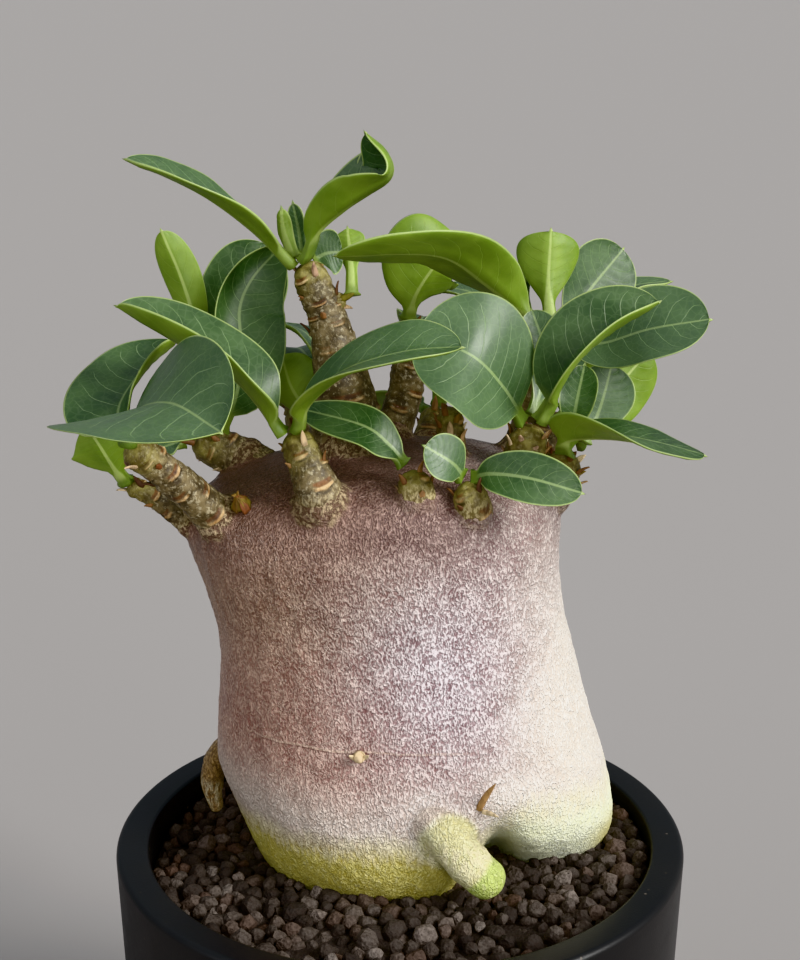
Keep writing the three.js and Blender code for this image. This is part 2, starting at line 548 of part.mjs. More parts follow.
    line: [[34.2, 31.6, 187.6], [40.5, 41.5, 191.5], [46, 50, 191], [50, 57, 187]] },
  { name: 'leaf_back_right_3', half: 8, face: [[0, 0, 1]],
    line: [[33, 31, 191], [29, 40, 199], [25, 49, 204], [21, 58, 204]] },
];

// Half width of a leaf at t along it: a thin stalk, then an obovate blade that is widest at `widest`
function halfWidth(t, half, stalk, widest) {
  const along = Math.min(Math.max((t - stalk) / (1 - stalk), 0), 1);
  const tipPower = 0.5;
  const basePower = (tipPower * widest) / (1 - widest);
  const peak = widest ** basePower * (1 - widest) ** tipPower;
  const blade = (along ** basePower * (1 - along) ** tipPower) / peak;
  return Math.max(Math.hypot(STALK_RADIUS * (1 - along), half * blade), TIP_HALF_WIDTH);
}

function leafSolid(leaf) {
  const { line, face, half, fold = [[5, 5]], curl = [[10, 10]], stalk = 0.12, widest = 0.62 } = leaf;
  const [leftHalf, rightHalf] = Array.isArray(half) ? half : [half, half];
  const small = Math.max(leftHalf, rightHalf) < SMALL_LEAF;
  const stations = small ? SMALL_LEAF_ROWS : LEAF_ROWS;
  const places = small ? SMALL_LEAF_COLUMNS : LEAF_COLUMNS;
  const upper = [];
  const lower = [];
  stations.forEach((t) => {
    const middle = new THREE.Vector3(...smooth(line, t));
    const along = direction(line, t);
    const normal = new THREE.Vector3(...smooth(face, t));
    normal.addScaledVector(along, -normal.dot(along)).normalize();
    const right = new THREE.Vector3().crossVectors(along, normal);
    const folds = smooth(fold, t);
    const curls = smooth(curl, t);
    places.forEach((s) => {
      const hand = s < 0 ? 0 : 1;
      const sign = s < 0 ? -1 : 1;
      const width = halfWidth(t, s < 0 ? leftHalf : rightHalf, stalk, widest) * Math.abs(s);
      const lift = THREE.MathUtils.degToRad(folds[hand] + (curls[hand] * Math.abs(s)) / 2);
      const slope = s === 0 ? 0 : THREE.MathUtils.degToRad(folds[hand] + curls[hand] * Math.abs(s));
      const point = middle.clone()
        .addScaledVector(right, sign * width * Math.cos(lift))
        .addScaledVector(normal, width * Math.sin(lift));
      const faceNormal = normal.clone().multiplyScalar(Math.cos(slope))
        .addScaledVector(right, -sign * Math.sin(slope));
      const rib = (1 - Math.abs(s)) * 1.1 * (1 - t) ** 1.5;
      upper.push(point);
      lower.push(point.clone().addScaledVector(faceNormal, -(LEAF_THICKNESS + rib)));
    });
  });
  const columns = places.length;
  const rows = stations.length;
  const indices = [];
  const top = (row, column) => row * columns + column;
  const under = (row, column) => rows * columns + row * columns + column;
  for (let row = 0; row < rows - 1; row += 1) {
    for (let column = 0; column < columns - 1; column += 1) {
      indices.push(top(row, column), top(row, column + 1), top(row + 1, column + 1));
      indices.push(top(row, column), top(row + 1, column + 1), top(row + 1, column));
      indices.push(under(row, column), under(row + 1, column + 1), under(row, column + 1));
      indices.push(under(row, column), under(row + 1, column), under(row + 1, column + 1));
    }
    indices.push(top(row, 0), top(row + 1, 0), under(row + 1, 0));
    indices.push(top(row, 0), under(row + 1, 0), under(row, 0));
    const end = columns - 1;
    indices.push(top(row, end), under(row + 1, end), top(row + 1, end));
    indices.push(top(row, end), under(row, end), under(row + 1, end));
  }
  for (let column = 0; column < columns - 1; column += 1) {
    const end = rows - 1;
    indices.push(top(0, column), under(0, column), under(0, column + 1));
    indices.push(top(0, column), under(0, column + 1), top(0, column + 1));
    indices.push(top(end, column), top(end, column + 1), under(end, column + 1));
    indices.push(top(end, column), under(end, column + 1), under(end, column));
  }
  const geometry = new THREE.BufferGeometry();
  const points = upper.concat(lower).flatMap((p) => [p.x, p.y, p.z]);
  geometry.setAttribute('position', new THREE.Float32BufferAttribute(points, 3));
  geometry.setIndex(indices);
  return toSolid(geometry);
}

// The finished object

const blackPlastic = { color: 0x1b1b1d, roughness: 0.6, metalness: 0 };
const gravel = { color: 0x4a3a32, roughness: 0.95, metalness: 0 };
const bark = { color: 0xa98c86, roughness: 0.85, metalness: 0 };
const leafGreen = { color: 0x4f7a4c, roughness: 0.45, metalness: 0 };

function addPiece(group, name, solid, finish) {
  const mesh = new THREE.Mesh(toGeometry(solid), new THREE.MeshStandardMaterial(finish));
  mesh.name = name;
  group.add(mesh);
}

const group = new THREE.Group();
const plantRoom = plantSolid(GAP);
addPiece(group, 'pot', potSolid(), blackPlastic);
addPiece(group, 'soil', soilSolid(plantRoom), gravel);
addPiece(group, 'caudex', plantSolid(0), bark);
LEAVES.forEach((leaf) => {
  addPiece(group, leaf.name, biggestBody(leafSolid(leaf).subtract(plantRoom)), leafGreen);
});

export default group;
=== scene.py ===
# %% [markdown]
# # A potted desert rose
# A desert rose stores water in a swollen trunk, the caudex. Short corky shoots stand on its crown, and each
# one ends in a rosette of thick leaves. The plant stands in lava gravel in a plain black pot.
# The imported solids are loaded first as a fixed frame. Every piece that is made below stands where its solid
# stands, in the same metres, with +Z up and the photographed side facing -Y.

# %% Load the frame
import math

import bmesh
import bpy
import numpy as np
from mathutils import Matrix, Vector


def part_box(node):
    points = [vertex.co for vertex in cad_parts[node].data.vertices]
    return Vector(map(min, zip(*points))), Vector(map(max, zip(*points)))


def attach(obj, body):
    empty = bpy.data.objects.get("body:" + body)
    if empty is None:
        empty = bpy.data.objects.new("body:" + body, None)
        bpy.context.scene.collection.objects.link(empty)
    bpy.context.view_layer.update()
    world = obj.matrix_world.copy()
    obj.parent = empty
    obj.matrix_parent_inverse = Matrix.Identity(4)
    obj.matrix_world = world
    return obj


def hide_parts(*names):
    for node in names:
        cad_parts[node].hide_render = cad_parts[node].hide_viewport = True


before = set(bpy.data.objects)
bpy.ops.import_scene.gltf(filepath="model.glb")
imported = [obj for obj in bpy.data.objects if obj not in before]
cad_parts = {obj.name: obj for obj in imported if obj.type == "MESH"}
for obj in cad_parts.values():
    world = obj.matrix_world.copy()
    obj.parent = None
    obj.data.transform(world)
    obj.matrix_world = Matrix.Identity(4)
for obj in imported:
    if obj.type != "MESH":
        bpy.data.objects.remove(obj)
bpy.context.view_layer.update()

MM = 0.001
print("solids in the frame:", len(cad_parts))

# %% [markdown]
# ## Tools for curves and surfaces
# Blender can make a shape with primitives and sculpting, or from arrays of points. Arrays are used here,
# because a leaf, a shoot and a pot are each one formula of two parameters, and a formula can be read and
# changed. Sizes are written in millimetres and become metres only when the mesh is filled.

# %% Curves through points
def spline(points, t):
    """Uniform Catmull-Rom curve through points, at each t from 0 to 1. Between points b and c, with
    neighbours a and d and f from 0 to 1 between them, it is
    (2b + (c - a) f + (2a - 5b + 4c - d) f^2 + (3b - a - 3c + d) f^3) / 2. The ends are reflected."""
    points = np.asarray(points, float)
    if len(points) == 1:
        return np.repeat(points, len(t), axis=0)
    ends = np.vstack([2 * points[0] - points[1], points, 2 * points[-1] - points[-2]])
    place = np.clip(t, 0, 1) * (len(points) - 1)
    k = np.minimum(place.astype(int), len(points) - 2)
    f = (place - k)[:, None]
    a, b, c, d = ends[k], ends[k + 1], ends[k + 2], ends[k + 3]
    return (2 * b + (c - a) * f + (2 * a - 5 * b + 4 * c - d) * f**2 + (3 * b - a - 3 * c + d) * f**3) / 2


def unit(vectors):
    """Each vector divided by its own length."""
    vectors = np.asarray(vectors, float)
    return vectors / np.maximum(np.linalg.norm(vectors, axis=-1, keepdims=True), 1e-12)


def heading(points, t):
    """Direction of the curve at t: the difference of two points close to each other, with length 1."""
    step = 1e-3
    return unit(spline(points, np.minimum(t + step, 1)) - spline(points, np.maximum(t - step, 0)))


def turns(sides):
    """Angles spaced evenly round a circle."""
    return np.linspace(0, 2 * np.pi, sides, endpoint=False)


def ease(x, low, high):
    """Smooth step: 0 below low, 1 above high, and 3x^2 - 2x^3 of the way between them."""
    x = np.clip((x - low) / (high - low), 0, 1)
    return x * x * (3 - 2 * x)


# %% [markdown]
# Nature is never even, so most surfaces get some noise. A mesh needs it as numbers, and value noise is the
# simplest kind that is smooth: random numbers on a lattice, blended between.

# %% Noise for meshes
HASH_PRIMES = np.array([73856093, 19349663, 83492791], np.int64)


def lattice_value(cells, seed):
    """A repeatable random number from -1 to 1 for each whole-numbered cell, from mixed products of primes."""
    mixed = (cells * HASH_PRIMES).sum(-1) + seed * 2654435761
    mixed = (mixed ^ (mixed >> 13)) & 0xFFFFFFFF
    mixed = (mixed * 1274126177) & 0xFFFFFFFF
    mixed = (mixed ^ (mixed >> 16)) & 0xFFFF
    return mixed / 32767.5 - 1


def noise(places, size, seed):
    """Value noise: lattice values `size` apart, blended by the smooth step between the cell's 8 corners."""
    grid = np.asarray(places, float) / np.asarray(size, float) + 500.0
    cell = np.floor(grid).astype(np.int64)
    f = grid - cell
    f = f * f * (3 - 2 * f)
    total = np.zeros(grid.shape[:-1])
    for corner in np.ndindex(2, 2, 2):
        share = np.where(np.array(corner) == 1, f, 1 - f).prod(-1)
        total += share * lattice_value(cell + np.array(corner), seed)
    return total


# %% [markdown]
# Most pieces here are a skin over a stack of rings, closed with a point at each end: a shoot, a root, a leaf,
# the pot and the caudex. One function joins the rings, and one puts the arrays into a mesh.

# %% From rings to a mesh
def skin(rings, start, end):
    """Points, quads and triangles of a closed skin over rings[row, side], with one point closing each end.
    A quad joins side k and k + 1 of a row to the same sides of the next row."""
    rows, sides = rings.shape[:2]
    row, side = np.meshgrid(np.arange(rows - 1), np.arange(sides), indexing="ij")
    near = row * sides + side
    beside = row * sides + (side + 1) % sides
    quads = np.stack([near, beside, beside + sides, near + sides], -1).reshape(-1, 4)
    first = np.arange(sides)
    second = (first + 1) % sides
    last = (rows - 1) * sides
    low = np.stack([second, first, np.full(sides, rows * sides)], -1)
    high = np.stack([last + first, last + second, np.full(sides, rows * sides + 1)], -1)
    points = np.vstack([rings.reshape(-1, 3), start, end])
    return outward(points, quads, np.vstack([low, high]))


def outward(points, quads, triangles):
    """The same skin with its faces outward: its signed volume, a sum of a . (b x c) / 6, is positive."""
    halves = np.vstack([quads[:, [0, 1, 2]], quads[:, [0, 2, 3]], triangles])
    a, b, c = points[halves[:, 0]], points[halves[:, 1]], points[halves[:, 2]]
    if (a * np.cross(b, c)).sum() < 0:
        return points, quads[:, ::-1], triangles[:, ::-1]
    return points, quads, triangles


def join(parts):
    """Several skins as one: their arrays are stacked, and each one's corner numbers are moved up."""
    starts = np.cumsum([0] + [len(part[0]) for part in parts[:-1]])
    faces = [np.vstack([part[kind] + start for part, start in zip(parts, starts)]) for kind in (1, 2)]
    return np.vstack([part[0] for part in parts]), *faces


# %% [markdown]
# foreach_set copies a whole array into a mesh at once, which is much faster than going point by point. The
# masks that materials read go in the same way, as attributes.

# %% From arrays to objects
def fill_mesh(name, points, quads, triangles):
    """An object whose mesh holds the points, given in millimetres, and the faces."""
    mesh = bpy.data.meshes.new(name)
    corners = np.concatenate([quads.ravel(), triangles.ravel()])
    starts = np.concatenate([np.arange(len(quads)) * 4, len(quads) * 4 + np.arange(len(triangles)) * 3])
    mesh.vertices.add(len(points))
    mesh.vertices.foreach_set("co", (points * MM).ravel())
    mesh.loops.add(len(corners))
    mesh.loops.foreach_set("vertex_index", corners.astype(np.int32))
    mesh.polygons.add(len(starts))
    mesh.polygons.foreach_set("loop_start", starts.astype(np.int32))
    mesh.update(calc_edges=True)
    mesh.validate()
    mesh.shade_smooth()
    piece = bpy.data.objects.new(name, mesh)
    bpy.context.scene.collection.objects.link(piece)
    return piece


def keep(piece, **fields):
    """Stores arrays on the mesh's points as attributes, which a material can read by name."""
    for name, values in fields.items():
        values = np.asarray(values, float)
        kind, key = ("FLOAT_VECTOR", "vector") if values.ndim == 2 else ("FLOAT", "value")
        piece.data.attributes.new(name, kind, "POINT").data.foreach_set(key, values.ravel())


def finish_piece(piece, material, slot, *nodes):
    """Gives a piece its material and its body and hides the solids it stands for. slot is not used."""
    piece.data.materials.append(material)
    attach(piece, "root")
    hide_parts(*nodes)


# %% [markdown]
# ## A small language for materials
# Shader nodes are a kind of arithmetic, but a page of node calls hides it. The class below wraps the output
# of a node, so that `1 - mask` or `height * 0.3 + grain` adds the Math nodes by itself. Every other node
# comes from the method `node`. Only what changes over a surface is linked, and the rest stays a plain value.

# %% Shader maths
def feed(tree, shader, values):
    """Links each Signal to the input of its name, and writes each plain value on its input."""
    for key, value in values.items():
        if isinstance(value, Signal):
            tree.links.new(value.socket, shader.inputs[key])
        else:
            shader.inputs[key].default_value = value


class Signal:
    """The output of a shader node. Arithmetic on it adds Math nodes."""

    def __init__(self, tree, socket=None):
        self.tree = tree
        self.socket = socket

    def node(self, kind, settings=None, inputs=None, output=0):
        """Adds a node of a kind: its settings first, such as an operation, then its inputs."""
        made = self.tree.nodes.new("ShaderNode" + kind)
        for key, value in (settings or {}).items():
            setattr(made, key, value)
        feed(self.tree, made, inputs or {})
        return Signal(self.tree, made.outputs[output])

    def math(self, operation, *values):
        return self.node("Math", {"operation": operation}, dict(enumerate(values)))

    def __add__(self, other):
        return self.math("ADD", self, other)

    def __sub__(self, other):
        return self.math("SUBTRACT", self, other)

    def __rsub__(self, other):
        return self.math("SUBTRACT", other, self)

    def __mul__(self, other):
        return self.math("MULTIPLY", self, other)

    def __pow__(self, other):
        return self.math("POWER", self, other)

    def __abs__(self):
        return self.math("ABSOLUTE", self)

    __radd__ = __add__
    __rmul__ = __mul__

    def at_most(self, limit):
        return self.math("MINIMUM", self, limit)

    def between(self, low, high):
        """0 below low, 1 above high, with a smooth step between, or the other way round if low > high."""
        ends = {"Value": self, "From Min": min(low, high), "From Max": max(low, high)}
        stepped = self.node("MapRange", {"interpolation_type": "SMOOTHSTEP"}, ends)
        return stepped if low < high else 1 - stepped

    def colour(self, *stops):
        """A colour ramp along this value, from (place, (red, green, blue)) stops, the first one at 0."""
        ramp = self.node("ValToRGB", None, {"Fac": self})
        elements = ramp.socket.node.color_ramp.elements
        elements.remove(elements[1])
        elements[0].color = (*stops[0][1], 1)
        for place, colour in stops[1:]:
            elements.new(place).color = (*colour, 1)
        return ramp

    def texture(self, kind, scale, output=0, settings=None, **inputs):
        """A texture of a kind, such as Noise, read at this place. Its scale is features per metre."""
        names = {key.replace("_", " ").title(): value for key, value in inputs.items()}
        return self.node("Tex" + kind, settings, {"Vector": self, "Scale": scale, **names}, output)

    def noise(self, scale, **inputs):
        return self.texture("Noise", scale, **inputs)

    def upright(self, factor):
        """This place with its height multiplied, which stretches a texture upward if the factor is small."""
        return self.node("VectorMath", {"operation": "MULTIPLY"}, {0: self, 1: (1, 1, factor)})

    def attribute(self, name, output="Fac"):
        """A value or vector that was stored on the mesh's points."""
        return self.node("Attribute", {"attribute_name": name}, output=output)


# %% [markdown]
# A Math node would turn a colour grey, so colours are mixed by a node of their own. Two more helpers start
# a material and finish it.

# %% Mixes and materials
def blend(factor, first, second):
    """A mix of two colours: first where factor is 0 and second where it is 1."""
    source = next(value for value in (factor, first, second) if isinstance(value, Signal))
    first, second = (value if isinstance(value, Signal) else (*value, 1) for value in (first, second))
    return source.node("Mix", {"data_type": "RGBA"}, {0: factor, 6: first, 7: second}, output=2)


def new_material(name):
    """An empty material with its Principled shader, a source of new nodes, and the object's coordinates."""
    material = bpy.data.materials.new(name)
    material.use_nodes = True
    tools = Signal(material.node_tree)
    place = tools.node("TexCoord", output="Object")
    return material, tools, place


def surface(material, colour, roughness, bump=None, **constants):
    """Links the changing colour and roughness to the Principled shader, and one bump height to its normal.
    bump is (height, distance in millimetres). Everything else is a constant on the shader's own sockets."""
    inputs = {"Base Color": colour, "Roughness": roughness}
    inputs.update({key.replace("_", " "): value for key, value in constants.items()})
    if bump:
        height, distance = bump
        inputs["Normal"] = height.node("Bump", None, {"Height": height, "Distance": distance * MM})
    feed(material.node_tree, material.node_tree.nodes["Principled BSDF"], inputs)
    return material


# %% [markdown]
# ## The camera
# The camera stands where the photograph was taken from: 334 mm in front of the pot's axis and 282 mm above
# the table, looking 16.45 degrees down. The focal length is that of a long-sided frame of 36 mm.

# %% Camera
CAMERA_PLACE = (0.0, -334.3, 281.9)
CAMERA_TILT_DOWN = 16.45
FOCAL_LENGTH = 64.99

camera_data = bpy.data.cameras.new("camera")
camera_data.lens = FOCAL_LENGTH
camera_data.clip_start = 0.01
camera = bpy.data.objects.new("camera", camera_data)
camera.location = [value * MM for value in CAMERA_PLACE]
camera.rotation_euler = (math.radians(90 - CAMERA_TILT_DOWN), 0, 0)
bpy.context.scene.collection.objects.link(camera)
bpy.context.scene.camera = camera
print("camera in millimetres:", CAMERA_PLACE, "and tilted down by", CAMERA_TILT_DOWN, "degrees")

# %% [markdown]
# ## The pot
# The pot is injection-moulded black plastic: a slightly tapered wall, a thick rim and a floor with drain
# holes. A lathe is the natural way to make it, as one profile turned about the axis. The rim's edge is
# rounded, because that is where such a pot catches the light. The holes are cut by a Boolean.

# %% Pot profile
pot_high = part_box("pot")[1]
POT_HEIGHT = pot_high.z / MM
RIM_RADIUS = pot_high.x / MM
TAPER = 3.6
BASE_RADIUS = RIM_RADIUS - TAPER
RIM_WIDTH = 6.8
WALL = 5.6
FLOOR = 4.0
RIM_EDGE = 1.3
LIP_EDGE = 0.8
FLOOR_ROUNDING = 2
INNER_TOP = RIM_RADIUS - RIM_WIDTH
INNER_BASE = BASE_RADIUS - WALL
CORE = 4
DRAIN_HOLES = 6
DRAIN_RADIUS = 4.5
DRAIN_CIRCLE = 30.0
DRILL_PAST = 2.0
POT_SIDES = 224


def arc(x, z, radius, start, stop, steps=6):
    """Points of a round corner in the profile: centre plus radius times (cosine, sine) of each angle."""
    angles = np.radians(np.linspace(start, stop, steps))
    return np.stack([x + radius * np.cos(angles), z + radius * np.sin(angles)], -1)


def straight(start, stop, steps, first=0.0, last=1.0):
    """Points of a straight part of the profile: start (1 - f) + stop f, with f from first to last."""
    f = np.linspace(first, last, steps)[:, None]
    return np.array(start) * (1 - f) + np.array(stop) * f


def pot_profile():
    """The outline round the wall and rim, from near the underside's middle to near the floor's middle. The
    skin's end points close what is left."""
    return np.vstack([
        straight((CORE, 0), (BASE_RADIUS - 2 * RIM_EDGE, 0), 10),
        arc(BASE_RADIUS - RIM_EDGE, RIM_EDGE, RIM_EDGE, -90, -2),
        straight((BASE_RADIUS, RIM_EDGE), (RIM_RADIUS, POT_HEIGHT - RIM_EDGE), 12, 0.03, 0.97),
        arc(RIM_RADIUS - RIM_EDGE, POT_HEIGHT - RIM_EDGE, RIM_EDGE, -2, 90, 8),
        arc(INNER_TOP + LIP_EDGE, POT_HEIGHT - LIP_EDGE, LIP_EDGE, 90, 180),
        straight((INNER_TOP, POT_HEIGHT - 1), (INNER_BASE, FLOOR + FLOOR_ROUNDING), 12, 0.03, 0.97),
        arc(INNER_BASE - FLOOR_ROUNDING, FLOOR + FLOOR_ROUNDING, FLOOR_ROUNDING, 0, -90),
        straight((INNER_BASE - 2 * FLOOR_ROUNDING, FLOOR), (CORE, FLOOR), 8),
    ])


# %% [markdown]
# The profile is turned about the pot's axis, and the drain holes are cut out of the skin afterwards.

# %% Lathe and drain holes
def lathe(profile, sides):
    """Rings of a profile turned about Z: (r cos a, r sin a, z) for each side's angle a."""
    angles = turns(sides)
    radius, height = profile[:, :1], profile[:, 1:]
    return np.stack([radius * np.cos(angles), radius * np.sin(angles), height + 0 * angles], -1)


def cut_drains(piece):
    """Cuts the drain holes with one Boolean, by cylinders that reach past the floor on both sides."""
    low, high = -DRILL_PAST, FLOOR + DRILL_PAST
    rows = np.array([[DRAIN_RADIUS, low], [DRAIN_RADIUS, high]])
    drills = []
    for hole in range(DRAIN_HOLES):
        angle = 2 * math.pi * (hole + 0.5) / DRAIN_HOLES
        middle = np.array([DRAIN_CIRCLE * math.cos(angle), DRAIN_CIRCLE * math.sin(angle), 0])
        rings = lathe(rows, 32) + middle
        drills.append(skin(rings, middle + [0, 0, low], middle + [0, 0, high]))
    drill = fill_mesh("drain_drill", *join(drills))
    cutter = piece.modifiers.new("drain holes", "BOOLEAN")
    cutter.object = drill
    cutter.operation = "DIFFERENCE"
    cutter.solver = "EXACT"
    apply_modifiers(piece)
    bpy.data.objects.remove(drill)


def apply_modifiers(piece):
    """Replaces the mesh with the result of its modifiers."""
    shown = piece.evaluated_get(bpy.context.evaluated_depsgraph_get())
    made = bpy.data.meshes.new_from_object(shown)
    piece.modifiers.clear()
    piece.data = made


# %% [markdown]
# Matte plastic is never quite even: the mould leaves a fine grain, and dust and potting grit leave pale
# specks and soft smears. The smears also change how glossy it is.

# %% Pot material
def pot_plastic():
    """Matte black. Soft films and specks of dust make it paler and less glossy."""
    material, _, place = new_material("pot_plastic")
    smears = place.noise(38, detail=5, roughness=0.6)
    grain = place.noise(2600, detail=2)
    specks = place.texture("Voronoi", 420)
    chosen = place.noise(160, detail=1).between(0.56, 0.66)
    dust = specks.between(0.17, 0.06) * chosen
    film = smears.between(0.42, 0.75)
    black = blend(film, (0.0085, 0.0085, 0.009), (0.0155, 0.015, 0.0145))
    colour = blend(dust * 0.5, black, (0.24, 0.21, 0.18))
    roughness = 0.38 + film * 0.14 + grain * 0.08 + dust * 0.3
    return surface(material, colour, roughness, (grain * 0.5 + dust * 0.6, 0.04))


rings = lathe(pot_profile(), POT_SIDES)
pot = fill_mesh("pot_moulded", *skin(rings, [0, 0, 0], [0, 0, FLOOR]))
cut_drains(pot)
pot.data.shade_smooth()
finish_piece(pot, pot_plastic(), "pot_plastic", "pot")
print("pot faces:", len(pot.data.polygons))

# %% [markdown]
# ## The caudex
# The trunk has no simple section, so its outline is written down at a few heights: how far it reaches left,
# right, front and back. Each section is a superellipse, rounder than a box and squarer than a circle, and a
# smooth curve joins the sections. At its foot a crease parts a front lobe from a lobe on the right.

# %% Caudex sections
CAUDEX_LEVELS = [
    # height, left, right, front, back
    (89, -18, 25, -10, 21),
    (93, -24, 34, -15, 28),
    (97, -28, 40, -18.5, 32),
    (101, -30.3, 43.6, -21, 35),
    (105, -32, 45.3, -23.4, 36.6),
    (110, -33.8, 45.6, -25.4, 37),
    (116, -36.4, 44.4, -26.4, 36.4),
    (122, -38.4, 42.8, -26.5, 35.3),
    (130, -38.3, 40.2, -25.5, 34),
    (138, -38, 37.9, -24.8, 33.2),
    (146, -37.8, 35.9, -24.4, 32.8),
    (155, -39.1, 33.7, -24.4, 33),
    (164, -41.6, 32.5, -25, 33.8),
    (171, -43.8, 32.3, -25.3, 34.4),
    (176.5, -42.8, 32.2, -24.7, 33.6),
    (180.5, -39.2, 31, -23.9, 31),
    (183.5, -34.2, 28.4, -22.2, 27),
    (186, -26.5, 24, -18.8, 22),
    (188.3, -15, 15, -11.5, 15),
]
CAUDEX_TOP = 189.6
CAUDEX_BOTTOM = 88
CAUDEX_MIDDLE = (3, 6)
SQUARENESS = 2.25
CREASE_X = 19.5
CREASE_WIDTH = 4.2
CREASE_DEPTH = 12
LOBE_SETBACK = 9
LOBE_UNDERCUT = 0.8
LOBE_UNDERCUT_FROM = 112
CREASE_FADES_AT = 126


def crease_push(x, z, front):
    """How far the skin is pushed back at the crease: a bell curve across it plus a step to the right lobe,
    which is larger at its underside. Both fade out with height, in the soil and towards the back."""
    deep = np.clip((z - 91) / 10, 0, 1)
    groove = CREASE_DEPTH * np.exp(-(((x - CREASE_X) / CREASE_WIDTH) ** 2))
    under = np.clip((LOBE_UNDERCUT_FROM - z) / 12, 0, 1)
    setback = LOBE_SETBACK * (1 + LOBE_UNDERCUT * under) * ease(x, 5, 22)
    return (groove + setback) * ease(z, CREASE_FADES_AT, 100) * deep * front


def superellipse(x, y, left, right, front, back):
    """(|x| / a)^n + (|y| / b)^n, which is 1 on the outline and more outside it. x and y start at the middle
    of the caudex, and a and b are its reach from there to the side that they point to."""
    x0, y0 = CAUDEX_MIDDLE
    a = np.where(x > 0, right - x0, x0 - left)
    b = np.where(y > 0, back - y0, y0 - front)
    return (np.abs(x) / a) ** SQUARENESS + (np.abs(y) / b) ** SQUARENESS


def caudex_body(sides=200, rows=90):
    """Rings of superellipses: along each direction (cos, sin), r is the superellipse of it to the -1/n."""
    z, *reach = spline(CAUDEX_LEVELS, np.linspace(0, 1, rows)).T[:, :, None]
    x0, y0 = CAUDEX_MIDDLE
    angle = turns(sides)[None, :]
    c, s = np.cos(angle), np.sin(angle)
    r = superellipse(c, s, *reach) ** (-1 / SQUARENESS)
    x = x0 + r * c
    y = y0 + r * s + crease_push(x, z, np.maximum(-s, 0))
    rings = np.stack([x, y, z + 0 * x], -1)
    return skin(rings, [x0, y0, CAUDEX_BOTTOM], [x0 - 4, y0, CAUDEX_TOP])


# %% [markdown]
# ## Limbs
# Roots and shoots are round limbs along a curve. The points and radii below follow the real plant's shoots:
# a tall one on the left of the middle, a fork beside it, and a ring of short ones round the crown.

# %% Limbs of the plant
def limb(radius, line, scales=0, collar=0.6):
    """A round limb: its radius and its middle line, from its root to its end, its number of bracts and how
    far the old bark at its foot stands out."""
    return {"radius": np.array(radius, float)[:, None], "line": np.array(line, float), "scales": scales,
            "collar": collar}


SHOOTS = {
    "shoot_tall": limb([9.5, 8.1, 6.4, 4.4, 3.8, 3.3], [(-9, 5, 178), (-10.5, 5, 190), (-11.5, 5, 200),
        (-13.8, 5, 213), (-16, 5, 219.5), (-19, 5, 226.3)], 9),
    "shoot_tall_side": limb([2.2, 1.8], [(-14.5, 5, 218), (-10.6, 5, 219.3)], 2),
    "shoot_fork": limb([4.6, 3.9, 3.7, 3.4], [(-5, 9, 182), (0, 14, 194), (2, 16, 203), (2, 16, 212.8)], 5),
    "shoot_front": limb([5.8, 4.8, 3.8, 3.1], [(-13.5, -13, 177), (-15.2, -18.4, 185.2),
        (-17.6, -18, 191.3), (-20.3, -16, 197.6)], 7, 0.9),
    "shoot_left": limb([4.4, 3.8, 3.6, 3.4], [(-33, -8, 175), (-39.5, -13.5, 183.5),
        (-46, -18.5, 191.5), (-50.6, -22, 196)], 7, 0.8),
    "shoot_low_left": limb([2.9, 2.4, 2.2], [(-38, 0, 170), (-47, -3, 179), (-54, -4, 183.8)], 4),
    "shoot_dark": limb([6.2, 4.9, 3.8], [(-24, 10, 178), (-33.5, 13, 184), (-43, 14, 188.4)], 6),
    "shoot_stub": limb([4, 3.8, 3.1], [(3.2, -16.5, 180.5), (3.2, -20, 185.5), (2.2, -18.8, 190.8)],
        6, -0.3),
    "shoot_pale": limb([4.1, 3.8, 2.9], [(13.8, -17, 180), (13.8, -20.9, 184.3), (12.4, -20.6, 189)],
        5, -0.2),
    "shoot_spiky": limb([3.6, 3.1, 2.7], [(10.5, 1, 183), (10.2, 1, 190), (9.8, 2, 198)], 14),
    "shoot_knob": limb([5.2, 4.4, 3.6], [(23, -1, 179), (24.5, -3, 188), (25.8, -4, 195.6)], 14, -0.2),
    "shoot_right": limb([5.2, 4.6, 3.8], [(27.5, -1, 179), (31, -2.5, 184.5), (34, -3, 189.6)], 12, 0.2),
    "shoot_rear": limb([5, 4.2, 3.8, 3.4], [(23, 11, 180), (27, 14, 191), (29.5, 15.5, 201),
        (30.4, 16, 210.6)], 7),
    "shoot_back_left": limb([4.8, 4, 3.4], [(-18, 20, 176), (-20.5, 26.5, 185), (-22, 30, 193.5)], 6),
    "shoot_back_middle": limb([4.4, 3.8, 3.2], [(4, 22, 178), (6.5, 29, 184), (8, 34, 189.5)], 6),
    "shoot_back_right": limb([4.8, 4.2, 3.5], [(24, 16, 176), (30, 24, 183.5), (34, 29, 189.5)], 6),
}
ROOTS = [
    limb([9, 9.5, 7], [(13, 3, 177), (20, 4, 178.5), (24.5, 5, 177.5)]),
    limb([4.9, 4.1, 3.8, 3.6], [(1, -15, 125), (6, -23.8, 120.4), (13, -27.2, 112.8), (19.8, -28, 107)]),
    limb([3.4, 2.7, 2.1, 1.0], [(-33, 7, 123), (-39.3, 8, 118.5), (-40.9, 9, 112), (-39.8, 9, 104.8)]),
]
CUT_ROOT, DRY_ROOT = ROOTS[1:]
print("limbs:", len(SHOOTS) + len(ROOTS))

# %% [markdown]
# Every limb becomes a tube. At each place of its line two directions are needed that are square to it. Both
# come from one fixed direction that no limb runs along, so the tube doesn't twist.

# %% Limbs as tubes
ACROSS = np.array([0.31, 0.95, 0.07])
COLLAR_WIDTH = 1.9
INSIDE_THE_CORK = 0.6


